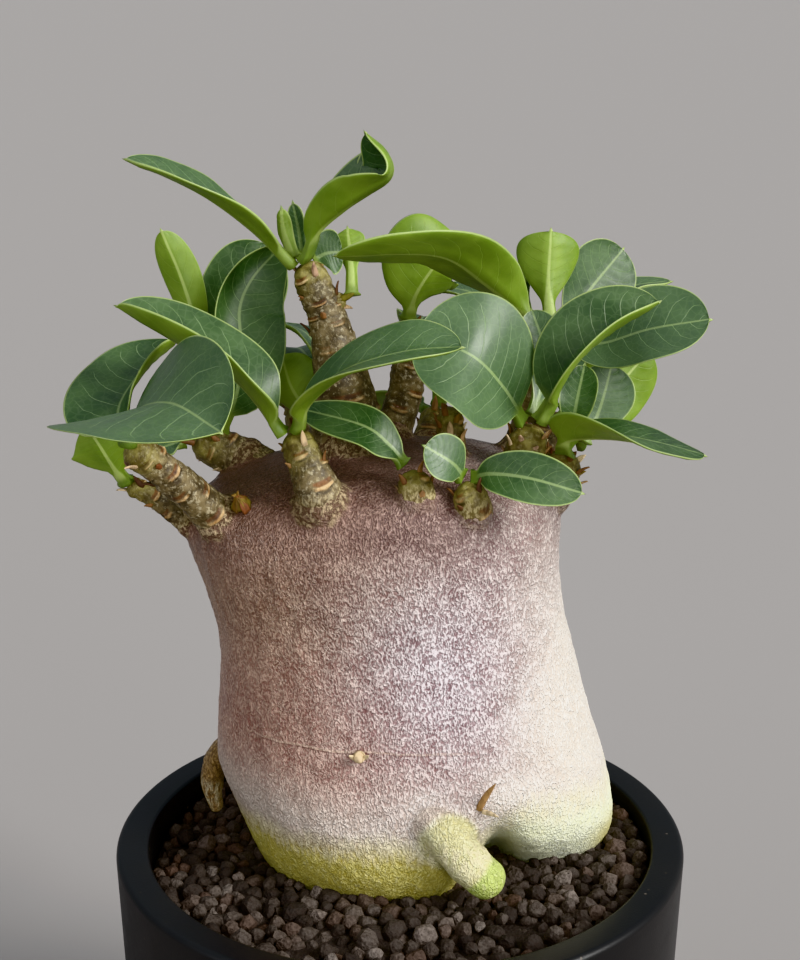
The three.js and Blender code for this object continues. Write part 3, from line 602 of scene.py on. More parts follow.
def limb_frame(line, t):
    """The curve's points and directions at t, with two directions square to it and to each other."""
    axis = heading(line, t)
    side = unit(np.cross(axis, ACROSS))
    return spline(line, t), axis, side, np.cross(axis, side)


def line_length(points):
    """The sum of the steps from point to point."""
    return np.linalg.norm(np.diff(points, axis=0), axis=1).sum()


def rounded_end(climb, length, radius, limit):
    """What rounds a limb's end: (1 - q^2)^0.5, with q from 0 to the limit over the last radius of it."""
    q = np.clip((climb - (length - radius)) / radius, 0, limit)
    return np.sqrt(1 - q**2)


def tube(middle, side, other, radius):
    """Rings round a line: middle + r (side cos a + other sin a), with r for each row and each angle a."""
    angle = turns(radius.shape[1])[None, :, None]
    out = side[:, None] * np.cos(angle) + other[:, None] * np.sin(angle)
    return middle[:, None] + radius[..., None] * out


def plain_limb(part, sides=32, rows=48, reach=1.0, foot=None):
    """A limb up to reach, with a rounded end. With a foot, its radius also swells by the collar's height in a
    bell curve about that place along the limb."""
    u = np.linspace(0, 1, rows)
    t = u * reach
    middle, axis, side, other = limb_frame(part["line"], t)
    length = line_length(middle)
    radius = spline(part["radius"], t)
    if foot is not None:
        bell = np.exp(-(((t[:, None] - foot) * length / reach / COLLAR_WIDTH) ** 2))
        radius = radius - INSIDE_THE_CORK * (1 - bell) + part["collar"] * bell
    radius = radius * rounded_end(u[:, None] * length, length, radius[-1], 0.999)
    rings = tube(middle, side, other, radius * np.ones(sides))
    return skin(rings, middle[0] - axis[0] * radius[0] * 0.4, middle[-1])


# %% [markdown]
# On the real plant the roots and shoots grow out of the caudex with no seam. Separate skins would meet in a
# hard line, so the caudex, the roots and a flared collar round the foot of each shoot are fused by a voxel
# remesh, and the seams are then softened: each point moves towards the mean of its neighbours a few times.

# %% Fuse and soften
VOXEL = 0.66
SOFTENING_STEPS = 6


def fuse(parts):
    """One closed mesh round all the parts, on a grid of voxels."""
    piece = fill_mesh("caudex_skin", *join(parts))
    remesh = piece.modifiers.new("fuse", "REMESH")
    remesh.mode = "VOXEL"
    remesh.voxel_size = VOXEL * MM
    apply_modifiers(piece)
    return piece


def read_points(piece, kind="co"):
    """The points or the normals of a mesh as an array, in metres."""
    values = np.zeros(len(piece.data.vertices) * 3, np.float32)
    piece.data.vertices.foreach_get(kind, values)
    return values.reshape(-1, 3).astype(float)


def write_points(piece, points):
    """Moves the mesh's points to the places of an array, in metres."""
    piece.data.vertices.foreach_set("co", points.astype(np.float32).ravel())
    piece.data.update()


def soften(points, edges, steps):
    """Moves each point half of the way to the mean of its neighbours, several times."""
    count = np.bincount(edges.ravel(), minlength=len(points))[:, None]
    for _ in range(steps):
        total = np.stack([
            np.bincount(edges[:, 0], points[edges[:, 1], axis], len(points))
            + np.bincount(edges[:, 1], points[edges[:, 0], axis], len(points))
            for axis in range(3)
        ], -1)
        points = 0.5 * points + 0.5 * total / np.maximum(count, 1)
    return points


def emerging(part):
    """The first place along a shoot's line that is outside the superellipse of its own height."""
    t = np.linspace(0, 1, 120)
    x, y, z = (spline(part["line"], t) - [*CAUDEX_MIDDLE, 0]).T
    heights = np.array(CAUDEX_LEVELS)
    reach = [np.interp(z, heights[:, 0], heights[:, side]) for side in (1, 2, 3, 4)]
    outside = (superellipse(x, y, *reach) > 1) | (z > CAUDEX_TOP - 1)
    return t[outside.argmax()]


for part in SHOOTS.values():
    part["foot"] = emerging(part)
on_caudex = [part for name, part in SHOOTS.items() if name != "shoot_tall_side"]
collars = [plain_limb(part, reach=min(part["foot"] + 0.3, 0.8), foot=part["foot"]) for part in on_caudex]
caudex = fuse([caudex_body(), *(plain_limb(part) for part in ROOTS), *collars])
edges = np.zeros(len(caudex.data.edges) * 2, np.int32)
caudex.data.edges.foreach_get("vertices", edges)
write_points(caudex, soften(read_points(caudex), edges.reshape(-1, 2), SOFTENING_STEPS))
print("caudex points:", len(caudex.data.vertices))

# %% [markdown]
# The skin of the caudex is papery: it shrinks and swells with the water inside, so it carries soft dents and
# fine upright wrinkles. These are real shapes, so they go into the mesh. Only the finest fibres and the thin
# crack at the old soil mark are left to the material.

# %% Relief of the caudex
def wrinkle(places, width, height, seed):
    """A net of thin upright ridges: 1 - |noise| raised to a power, from noise that is stretched along Z."""
    return (1 - np.abs(noise(places, (width, width, height), seed))) ** 4


def near_limb(places, part, start, end, reach):
    """How near each place is to a stretch of a limb's line: 1 inside its radius and 0 at `reach` outside,
    from the distance to the nearest of 16 points of the line."""
    line = spline(part["line"], np.linspace(start, end, 16))
    away = np.linalg.norm(places[:, None] - line[None], axis=-1).min(1)
    return ease(away, part["radius"].max() + reach, part["radius"].max())


def root_rim(places):
    """The papery edge where the cut root leaves the skin: near its line from 0.38 to 0.46 of the way."""
    return near_limb(places, CUT_ROOT, 0.38, 1.0, 0.4) * (1 - near_limb(places, CUT_ROOT, 0.46, 1.0, 0.4))


def caudex_relief(places):
    """Height of the relief in millimetres: dents and wrinkles of two sizes, and the edge of the cut root."""
    dents = 0.55 * noise(places, (16, 16, 30), 3) + 0.25 * noise(places, (7, 7, 12), 5)
    bend = noise(places, (4, 4, 4), 8)[:, None] * np.array([1.4, 1.4, 0.0])
    fine = 0.16 * wrinkle(places + bend, 2.0, 4.0, 12) + 0.16 * wrinkle(places + bend, 3.6, 8.0, 21)
    return dents + fine + 0.4 * root_rim(places)


places = read_points(caudex) / MM
normals = read_points(caudex, "normal")
above_soil = ease(places[:, 2], 95, 101)[:, None]
relief = caudex_relief(places)[:, None]
write_points(caudex, (places + normals * relief * above_soil) * MM)
caudex.data.shade_smooth()
print("relief in millimetres:", relief.min().round(2), "to", relief.max().round(2))

# %% [markdown]
# Colours are chosen the way a painter reads them off a swatch, as 0 to 255, and turned into the linear values
# that light is added up in. The bark's colour follows masks that are stored on the points. They mark the
# yellow-green foot that was once under the soil, the dark crown with painted shade among the shoots, the pale
# side and the bleached lobe, which both also carry painted light from the right, and the blush on the left.
# Others mark silver skin with a painted sheen on its front, the crack, the two roots and the collars of the
# shoots.

# %% Bark of the caudex
SCAR_HEIGHT = 134.5
CAUDEX_MASKS = (
    "foot", "crown", "pale", "bleached", "silver", "sheen",
    "crack", "blush", "dry", "root", "green", "collar",
)


def paint(red, green, blue):
    """The linear light of a swatch: ((c + 0.055) / 1.055)^2.4 of each channel."""
    return tuple(((value / 255 + 0.055) / 1.055) ** 2.4 for value in (red, green, blue))


def caudex_bark():
    """A dark and a light tone, which each mask moves towards tones of its own. Fine noise mixes the two, and
    the fibres, the collars and the crack are laid over them."""
    material, tools, place = new_material("caudex_bark")
    foot, crown, pale, bleached, silver, sheen, crack, blush, dry, root, green, collar = (
        tools.attribute(name) for name in CAUDEX_MASKS
    )
    clouds = place.noise(240, detail=5, roughness=0.65).between(0.32, 0.7)
    bend = place.noise(420, output=1, detail=2)
    warped = tools.node("VectorMath", {"operation": "MULTIPLY_ADD"}, {0: bend, 1: (0.001,) * 3, 2: place})
    tall = warped.upright(0.55)
    leather = tall.noise(2500, detail=2, roughness=0.5).between(0.38, 0.64)
    grain = tall.noise(4400, detail=1).between(0.36, 0.66)
    curl = abs(tall.noise(760, detail=1) * 2 - 1)
    hairs = curl.between(0.08, 0.0) * place.noise(520, detail=1).between(0.44, 0.54)
    fibres = warped.upright(0.2).noise(1500, detail=2)
    flakes = place.noise(1000, detail=4, roughness=0.7).between(0.44, 0.56)

    wide = place.noise(75, detail=3).between(0.35, 0.65)
    low_left = blend(wide, paint(106, 74, 62), paint(128, 96, 80))
    # paler skin to the right and painted light from the right, with the left darker
    low = blend(pale, low_left, blend(wide, paint(114, 80, 80), paint(140, 112, 106)))
    high = blend(pale, paint(188, 160, 138), paint(230, 216, 208))
    # mask, its share in the dark tone and the dark tone, its share in the light tone and the light tone
    steps = (
        (blush, 0.8, paint(132, 80, 74), 0.8, paint(216, 182, 166)),
        # bleached skin on the right and on the lobe, brightened further as painted light from the right
        (bleached, 1, paint(218, 206, 192), 1, paint(250, 247, 240)),
        # painted sheen: the highlight on the front, as a purple dark tone and a near-white light tone
        (sheen, 0.7, paint(100, 62, 76), 0.8, paint(246, 240, 246)),
        # dark crown: darker bark at the top and painted shade among the shoots
        (crown, 0.7, paint(66, 38, 38), 0.7, paint(156, 122, 112)),
        (foot, 1, blend(bleached, paint(166, 152, 72), paint(222, 224, 188)),
         1, blend(bleached, paint(222, 214, 138), paint(244, 247, 230))),
        (root, 1, paint(180, 172, 118), 1, paint(230, 228, 186)),
        (green, 1, paint(166, 184, 92), 1, paint(166, 184, 92)),
        (dry, 1, paint(84, 60, 38), 1, paint(182, 152, 108)),
    )
    for mask, low_share, dark, high_share, light in steps:
        low = blend(mask * low_share, low, dark)
        high = blend(mask * high_share, high, light)
    # silver raises the contrast of the fine pattern: partly silvery skin and partly the painted sheen on the
    # front
    lit = leather * (0.4 + silver * 0.34) + clouds * 0.24 + grain * 0.1 + hairs * 0.45 + silver * 0.04
    lit = lit.at_most(1.0)
    colour = blend(lit, low, high)
    colour = blend(fibres.between(0.55, 0.75) * foot * 0.4, colour, paint(236, 232, 186))
    foot_edge = (foot * (1 - foot) * 4).at_most(1.0)
    colour = blend(fibres.between(0.38, 0.6) * foot_edge * 0.6, colour, paint(232, 222, 190))
    colour = blend(collar * 0.85, colour, blend(flakes, paint(104, 80, 60), paint(198, 176, 140)))
    sway = (place.upright(0).noise(90, detail=2) - 0.5) * 1.5
    over_crack = tools.node("SeparateXYZ", None, {0: place}, output=2) * (1 / MM) - SCAR_HEIGHT + sway
    colour = blend(abs(over_crack - 0.25).between(0.34, 0.1) * crack * 0.55, colour, paint(216, 192, 170))
    colour = blend(abs(over_crack + 0.1).between(0.24, 0.06) * crack * 0.7, colour, paint(90, 54, 44))
    roughness = 0.36 + clouds * 0.1 - sheen * 0.1 + collar * 0.25 + foot * 0.1
    height = leather * (1 - foot * 0.4) + grain * 0.25 + hairs * 0.6 + fibres * 0.4 + collar * flakes
    return surface(material, colour, roughness, (height, 0.3), Specular_IOR_Level=0.6)


# %% [markdown]
# Each mask is a number from 0 to 1 at every point. Most of them are smooth steps along x or z, with an edge
# that noise makes uneven. The masks round a root or a shoot follow the distance from its line.

# %% Masks on the caudex
def near_foot(places, part):
    """The flaky collar of a shoot: 1 within its swollen foot and 0 a little outside, with a ragged edge."""
    foot = spline(part["line"], [part["foot"]])[0]
    radius = spline(part["radius"], [part["foot"]])[0, 0] + part["collar"]
    away = np.linalg.norm(places - foot, axis=-1) + 0.7 * noise(places, (1.6, 1.6, 1.6), 77)
    return ease(away, radius + 0.7, radius - 0.3) * np.clip(part["collar"] + 0.5, 0, 1)


x, y, z = places.T
patch = noise(places, (14, 14, 14), 55)
cut_root = near_limb(places, CUT_ROOT, 0.5, 1.0, 2.0)
feet = [near_foot(places, part) for part in on_caudex]
silver_patch = 0.5 + 0.5 * noise(places, (18, 18, 14), 61)
# where the painted sheen lies on the front of the caudex
silver_front = np.exp(-(((x - 9) / 17) ** 2) - ((z - 150) / 24) ** 2) * (y < 6)
upward = (read_points(caudex, "normal") * [-0.55, -0.2, 0.8]).sum(1)
root_paper = near_limb(places, CUT_ROOT, 0.2, 0.85, 0.8) * ease(upward + 0.2 * patch, 0.45, 0.75)
green_edge = ease(x, 37, 44) * ease(z, 114, 104)
keep(
    caudex,
    foot=ease(z + 1.6 * patch + 1.2 * noise(places, (3, 3, 3), 56) + 0.14 * (y + 26) - 7 * ease(x, 14, 26),
              119, 109),
    # darker bark at the top, and painted shade among the shoots, weaker on the lit right
    crown=ease(z + 4 * patch, 164, 182) * (1 - 0.75 * ease(x + 4 * patch, 8, 22)),
    # paler skin to the right, partly painted light from the right
    pale=ease(x + 6 * patch - 0.15 * (z - 140) + 9 * cut_root, -30, 24),
    # bleached skin on the right and on the lobe, partly painted light from the right
    bleached=(1 - 0.8 * green_edge) * np.maximum.reduce([
        ease(x + 4 * patch, 14, 34) * ease(z, 182, 150),
        0.9 * ease(x + 4 * patch, 10, 20) * ease(z, 138, 124),
        0.6 * near_limb(places, CUT_ROOT, 0.1, 0.4, 4.0),
        0.5 * ease(z + 4 * patch, 134, 118) * ease(z, 111, 118),
    ]),
    crack=ease(x, -36, -24) * ease(x, 18, 6) * (y < 6) * (0.6 + 0.4 * patch),
    # silvery patches all over, and the painted sheen on the front
    silver=np.maximum(silver_front, 0.7 * silver_patch),
    # the painted sheen on the front
    sheen=silver_front,
    blush=ease(z, 164, 136) * ease(z, 110, 134) * ease(x + 8 * patch, 26, -6) * (1 - cut_root)
          * (0.5 + 0.5 * silver_patch),
    dry=np.maximum.reduce([
        near_limb(places, DRY_ROOT, 0.3, 1.0, 1.2),
        (0.5 + 0.5 * patch) * np.maximum(0.4 * root_paper, 0.8 * root_rim(places)),
    ]),
    root=cut_root,
    green=0.8 * near_limb(places, CUT_ROOT, 0.93, 1.0, 0.8),
    collar=np.max(feet, axis=0),
)
bark = caudex_bark()
finish_piece(caudex, bark, "bark", "caudex")
print("caudex faces:", len(caudex.data.polygons))

# %% [markdown]
# ## The shoots
# A desert rose sheds its lower leaves. Each leaf leaves a crescent scar, and the scars climb the shoot in a
# spiral, one golden angle after another. Between them the cork splits into rings. So a shoot is a tube whose
# radius gets rings and scars added to it, and the scars' places are kept for the colours.

# %% Shoots with leaf scars
GOLDEN_ANGLE = math.radians(137.508)
SCAR_PITCH = 1.45
SCAR_WIDE = 0.56
RING_PITCH = 2.6
ROW_STEP = 0.42


def wrap(angle):
    """An angle brought between -pi and pi."""
    return (angle + np.pi) % (2 * np.pi) - np.pi


def shoot_piece(name, part, seed):
    """The tube's radius is the limb's, plus rings, plus for each scar a sunk pit, a raised lip under the pit
    and a crease under the lip. Each is a bell in (angle, height) with its ends bent up, as a crescent."""
    length = line_length(spline(part["line"], np.linspace(0, 1, 60)))
    rows, sides = int(length / ROW_STEP), 60
    u = np.linspace(0, 1, rows)
    middle, axis, side, other = limb_frame(part["line"], u)
    base = spline(part["radius"], u)
    climb = u[:, None] * length
    angle = turns(sides)[None, :]
    around = np.stack([np.cos(angle) * 9 + 0 * climb, np.sin(angle) * 9 + 0 * climb, climb + 0 * angle], -1)
    sway = 0.55 * noise(around, (5, 5, 3), seed)
    rings_up = (climb + sway) / (RING_PITCH * min(1, length / 20))
    ridge = np.abs(np.sin(np.pi * rings_up)) ** 0.4
    lump = 0.3 * noise(around, (6, 6, 4), seed + 3) + 0.12 * noise(around, (1.6, 1.6, 1.2), seed + 5)
    pit, lip, crease = np.zeros((3, rows, sides))
    for step in range(int(length / SCAR_PITCH) - 1):
        strength = 0.35 + 0.65 * abs(math.sin(step * 2.3 + seed))
        turn = wrap(angle - step * GOLDEN_ANGLE - seed + sway * 0.2) / (SCAR_WIDE * (0.7 + 0.4 * strength))
        bent = climb - (step + 0.8) * SCAR_PITCH - 0.45 * turn**2
        across = strength * np.exp(-(turn**4))
        pit = np.maximum(pit, across * np.exp(-((bent - 0.15) / 0.5) ** 2))
        lip = np.maximum(lip, across * np.exp(-((bent + 0.6) / 0.36) ** 2))
        crease = np.maximum(crease, across * np.exp(-((bent + 1.2) / 0.3) ** 2))
    relief = 0.24 * ridge + lump + 0.34 * lip - 0.2 * pit - 0.18 * crease - 0.35
    rings = tube(middle, side, other, (base + relief) * rounded_end(climb, length, base[-1], 0.9995))
    piece = fill_mesh(name, *skin(rings, middle[0] - axis[0], middle[-1]))
    masks = {
        "pit": pit,
        "lip": lip,
        # painted shade: the crease under each lip and the grooves between the rings
        "crease": np.maximum(crease, 0.7 * (1 - ridge)),
        "tip": ease(climb, length - 11, length - 2) + 0 * angle,
        "foot": ease(climb, part["foot"] * length + 5, part["foot"] * length) + 0 * angle,
    }
    keep(piece, **{key: np.append(mask, [mask[0, 0], mask[-1, 0]]) for key, mask in masks.items()})
    return piece


# %% [markdown]
# The cork's colours follow the same scars: a pale lip and a rusty pit, with painted shade in the crease under
# the lip and in the grooves between the rings. Lichen and scurf lie on the cork between them, and the newest
# cork at the tip is greener.

# %% Cork and shoots
def shoot_bark():
    """Brown cork, greener at its tip and scurfy at its foot: pale lips, rusty pits, painted shade in creases.
    """
    material, tools, place = new_material("shoot_bark")
    pit, lip, crease, tip, foot = (tools.attribute(name) for name in ("pit", "lip", "crease", "tip", "foot"))
    clouds = place.noise(380, detail=5, roughness=0.65).between(0.34, 0.66)
    flakes = place.upright(0.5).noise(1700, detail=3, roughness=0.6)
    lichen = place.noise(1100, detail=4, roughness=0.65).between(0.52, 0.64)
    cork = blend(clouds, paint(66, 56, 40), paint(124, 110, 80))
    cork = blend(lichen * 0.6, cork, paint(186, 176, 146))
    cork = blend(tip * 0.65, cork, blend(clouds, paint(96, 84, 40), paint(146, 140, 74)))
    scurf = blend(flakes.between(0.45, 0.6), paint(96, 78, 54), paint(206, 190, 148))
    cork = blend(foot * 0.6, cork, scurf)
    edge = blend(clouds, paint(158, 118, 72), paint(214, 186, 140))
    cork = blend(lip.between(0.2, 0.7) * 0.85, cork, edge)
    cork = blend(pit.between(0.25, 0.75) * 0.8, cork, blend(clouds, paint(70, 40, 24), paint(122, 78, 44)))
    cork = blend(flakes.between(0.58, 0.72) * 0.35, cork, paint(54, 42, 30))
    # painted shade in the creases and the ring grooves
    colour = blend(crease.between(0.2, 0.8) * 0.75, cork, paint(44, 34, 24))
    height = flakes * 0.7 + clouds * 0.4
    return surface(material, colour, 0.48 + clouds * 0.2, (height, 0.25), Specular_IOR_Level=0.45)


cork_material = shoot_bark()
for number, (name, part) in enumerate(SHOOTS.items()):
    finish_piece(shoot_piece(name, part, 40 + 7 * number), cork_material, "bark", "caudex")
print("shoots:", len(SHOOTS))

# %% [markdown]
# Near the tips stand dry brown bracts, the small scales that protected the buds. There are over a hundred, so
# each one has only a few dozen faces: a narrow curled scale, widest below its middle.

# %% Bracts
def scale_skin(root, up, out, length, width):
    """A curled scale: its middle line leans from `up` towards `out` with the square of the way along it,
    and its half-width is width * (1 - q)^0.8 * (0.6 + q)."""
    q = np.linspace(0, 0.96, 6)[:, None]
    across = unit(np.cross(up, out))
    middle = root + up * q * length + out * (0.22 * q + 0.3 * q**2) * length
    angle = turns(8)[None, :, None]
    half = (width * (1 - q) ** 0.8 * (0.6 + q))[:, None]
    thick = (0.22 + 0.1 * (1 - q))[:, None]
    bowl = 0.35 * half * np.cos(angle) ** 2
    rings = middle[:, None] + across * half * np.cos(angle) + out * (thick * np.sin(angle) - bowl)
    return skin(rings, root, root + up * length + out * 0.52 * length)


def shoot_bracts(part, seed):
    """Scales on the upper part of a shoot, a golden angle apart, their roots just under its skin."""
    parts = []
    for step in range(part["scales"]):
        t = np.array([0.99 - 0.42 * step / max(part["scales"], 1)])
        middle, axis, side, other = (value[0] for value in limb_frame(part["line"], t))
        turn = step * GOLDEN_ANGLE + seed
        out = side * math.cos(turn) + other * math.sin(turn)
        radius = spline(part["radius"], t)[0, 0] * (0.62 if step == 0 else 0.93)
        length = 2.2 + 0.9 * math.sin(step * 1.7 + seed)
        parts.append(scale_skin(middle + out * radius - axis, axis, out, length, 1.05))
    return parts


# %% [markdown]
# All the husks share one material. A number that is stored on each husk, its tint, picks its colour.

# %% Dry husks
def bract_husk():
    """Dry husk. Its tint runs from brown through straw to red and olive, and streaks darken it."""
    material, tools, place = new_material("bract_husk")
    streaks = place.upright(0.25).noise(1400, detail=2)
    tint = tools.attribute("tint")
    dry = tint.colour((0.0, paint(74, 48, 30)), (0.4, paint(132, 94, 58)), (0.62, paint(176, 140, 96)),
                      (0.74, paint(222, 204, 168)), (0.86, paint(118, 42, 38)), (1.0, paint(128, 120, 48)))
    colour = blend(streaks.between(0.4, 0.7) * 0.5, dry, paint(58, 36, 24))
    return surface(material, colour, 0.65, (streaks, 0.1))


def finish_husks(name, parts, tints):
    """One piece of many small husks, with a tint for each husk on all its points."""
    piece = fill_mesh(name, *join(parts))
    keep(piece, tint=np.repeat(tints, [len(part[0]) for part in parts]))
    finish_piece(piece, husk, "bark", "caudex")


rng = np.random.default_rng(5)
bracts = [scale for number, part in enumerate(SHOOTS.values()) for scale in shoot_bracts(part, number * 1.3)]
husk = bract_husk()
finish_husks("bracts", bracts, rng.uniform(0, 1, len(bracts)))
print("bracts:", len(bracts))

# %% [markdown]
# Three small things mark the skin: a red-brown bud that sits on the left shoulder, a pale nub on the old soil
# line, and the dry sliver of a dead leaf in the crease. The bud is a ring of the same scales, leaning in.

# %% Bud, nub and sliver
BUD_PLACE = np.array([-30.5, -13.2, 181.6])
BUD_AXIS = unit([-0.25, -0.55, 0.8])
NUB_PLACE = np.array([-8, -25.0, 134.2])
SLIVER_PLACE = np.array([15.5, -25.8, 123.0])

bud_side = unit(np.cross(BUD_AXIS, ACROSS))
bud_other = np.cross(BUD_AXIS, bud_side)
bud_scales = []
for step in range(13):
    turn = step * GOLDEN_ANGLE
    out = bud_side * math.cos(turn) + bud_other * math.sin(turn)
    root = BUD_PLACE + out * (1.9 - 0.1 * step) + BUD_AXIS * 0.12 * step
    bud_scales.append(scale_skin(root, BUD_AXIS, -out, 3.0, 1.3))
finish_husks("shoulder_bud", bud_scales, rng.uniform(0.8, 1.0, len(bud_scales)))
nub_line = [NUB_PLACE, NUB_PLACE + [0.1, -0.7, 0.1], NUB_PLACE + [0.5, -1.2, 0.5]]
nub = [plain_limb(limb([1.3, 1.1, 0.7], nub_line), 14, 12)]
nub += [scale_skin(NUB_PLACE + [0.9 * step, 0.1, -0.6], unit([0.5 * step, -0.3, 0.8]),
                   np.array([0.0, -1.0, 0.0]), 2.0, 0.8) for step in (-1, 1)]
finish_husks("scar_nub", nub, [0.7, 0.74, 0.74])
sliver = [
    scale_skin(SLIVER_PLACE, unit([0.3, 0, 0.95]), unit([0.1, -0.9, 0]), 8.4, 1.1),
    scale_skin(SLIVER_PLACE + [0.6, 0, -0.3], unit([0.9, -0.3, 0.1]), np.array([0, -1, 0]), 3.4, 0.9),
]
finish_husks("dry_sliver", sliver, [0.6, 0.72])
print("scales of the bud:", len(bud_scales))

# %% [markdown]
# ## The leaves
# Every leaf is a thick blade on a short stalk. Its form is a middle line through a few points, a facing
# direction, a half-width, and how steeply each half folds up and curls along its margin. Each leaf's line was
# read off the photograph and given its depth, so the table below is the drawing of the crown. Leaves
# on the back were not seen and follow the habit of the front ones.

# %% Table of leaves
def leaf(line, face, half, fold=(5, 5), curl=(10, 10), stalk=0.12, widest=0.62):
    """One leaf. half may be a pair (left half, right half). Angles are in degrees, (left, right). A face,
    fold or curl may be one for the whole leaf or a list of them from its root to its tip."""
    left, right = half if isinstance(half, tuple) else (half, half)
    face, fold, curl = (np.atleast_2d(np.array(value, float)) for value in (face, fold, curl))
    return {"line": line, "face": face, "left": left, "right": right, "fold": fold, "curl": curl,
            "stalk": stalk, "widest": widest}


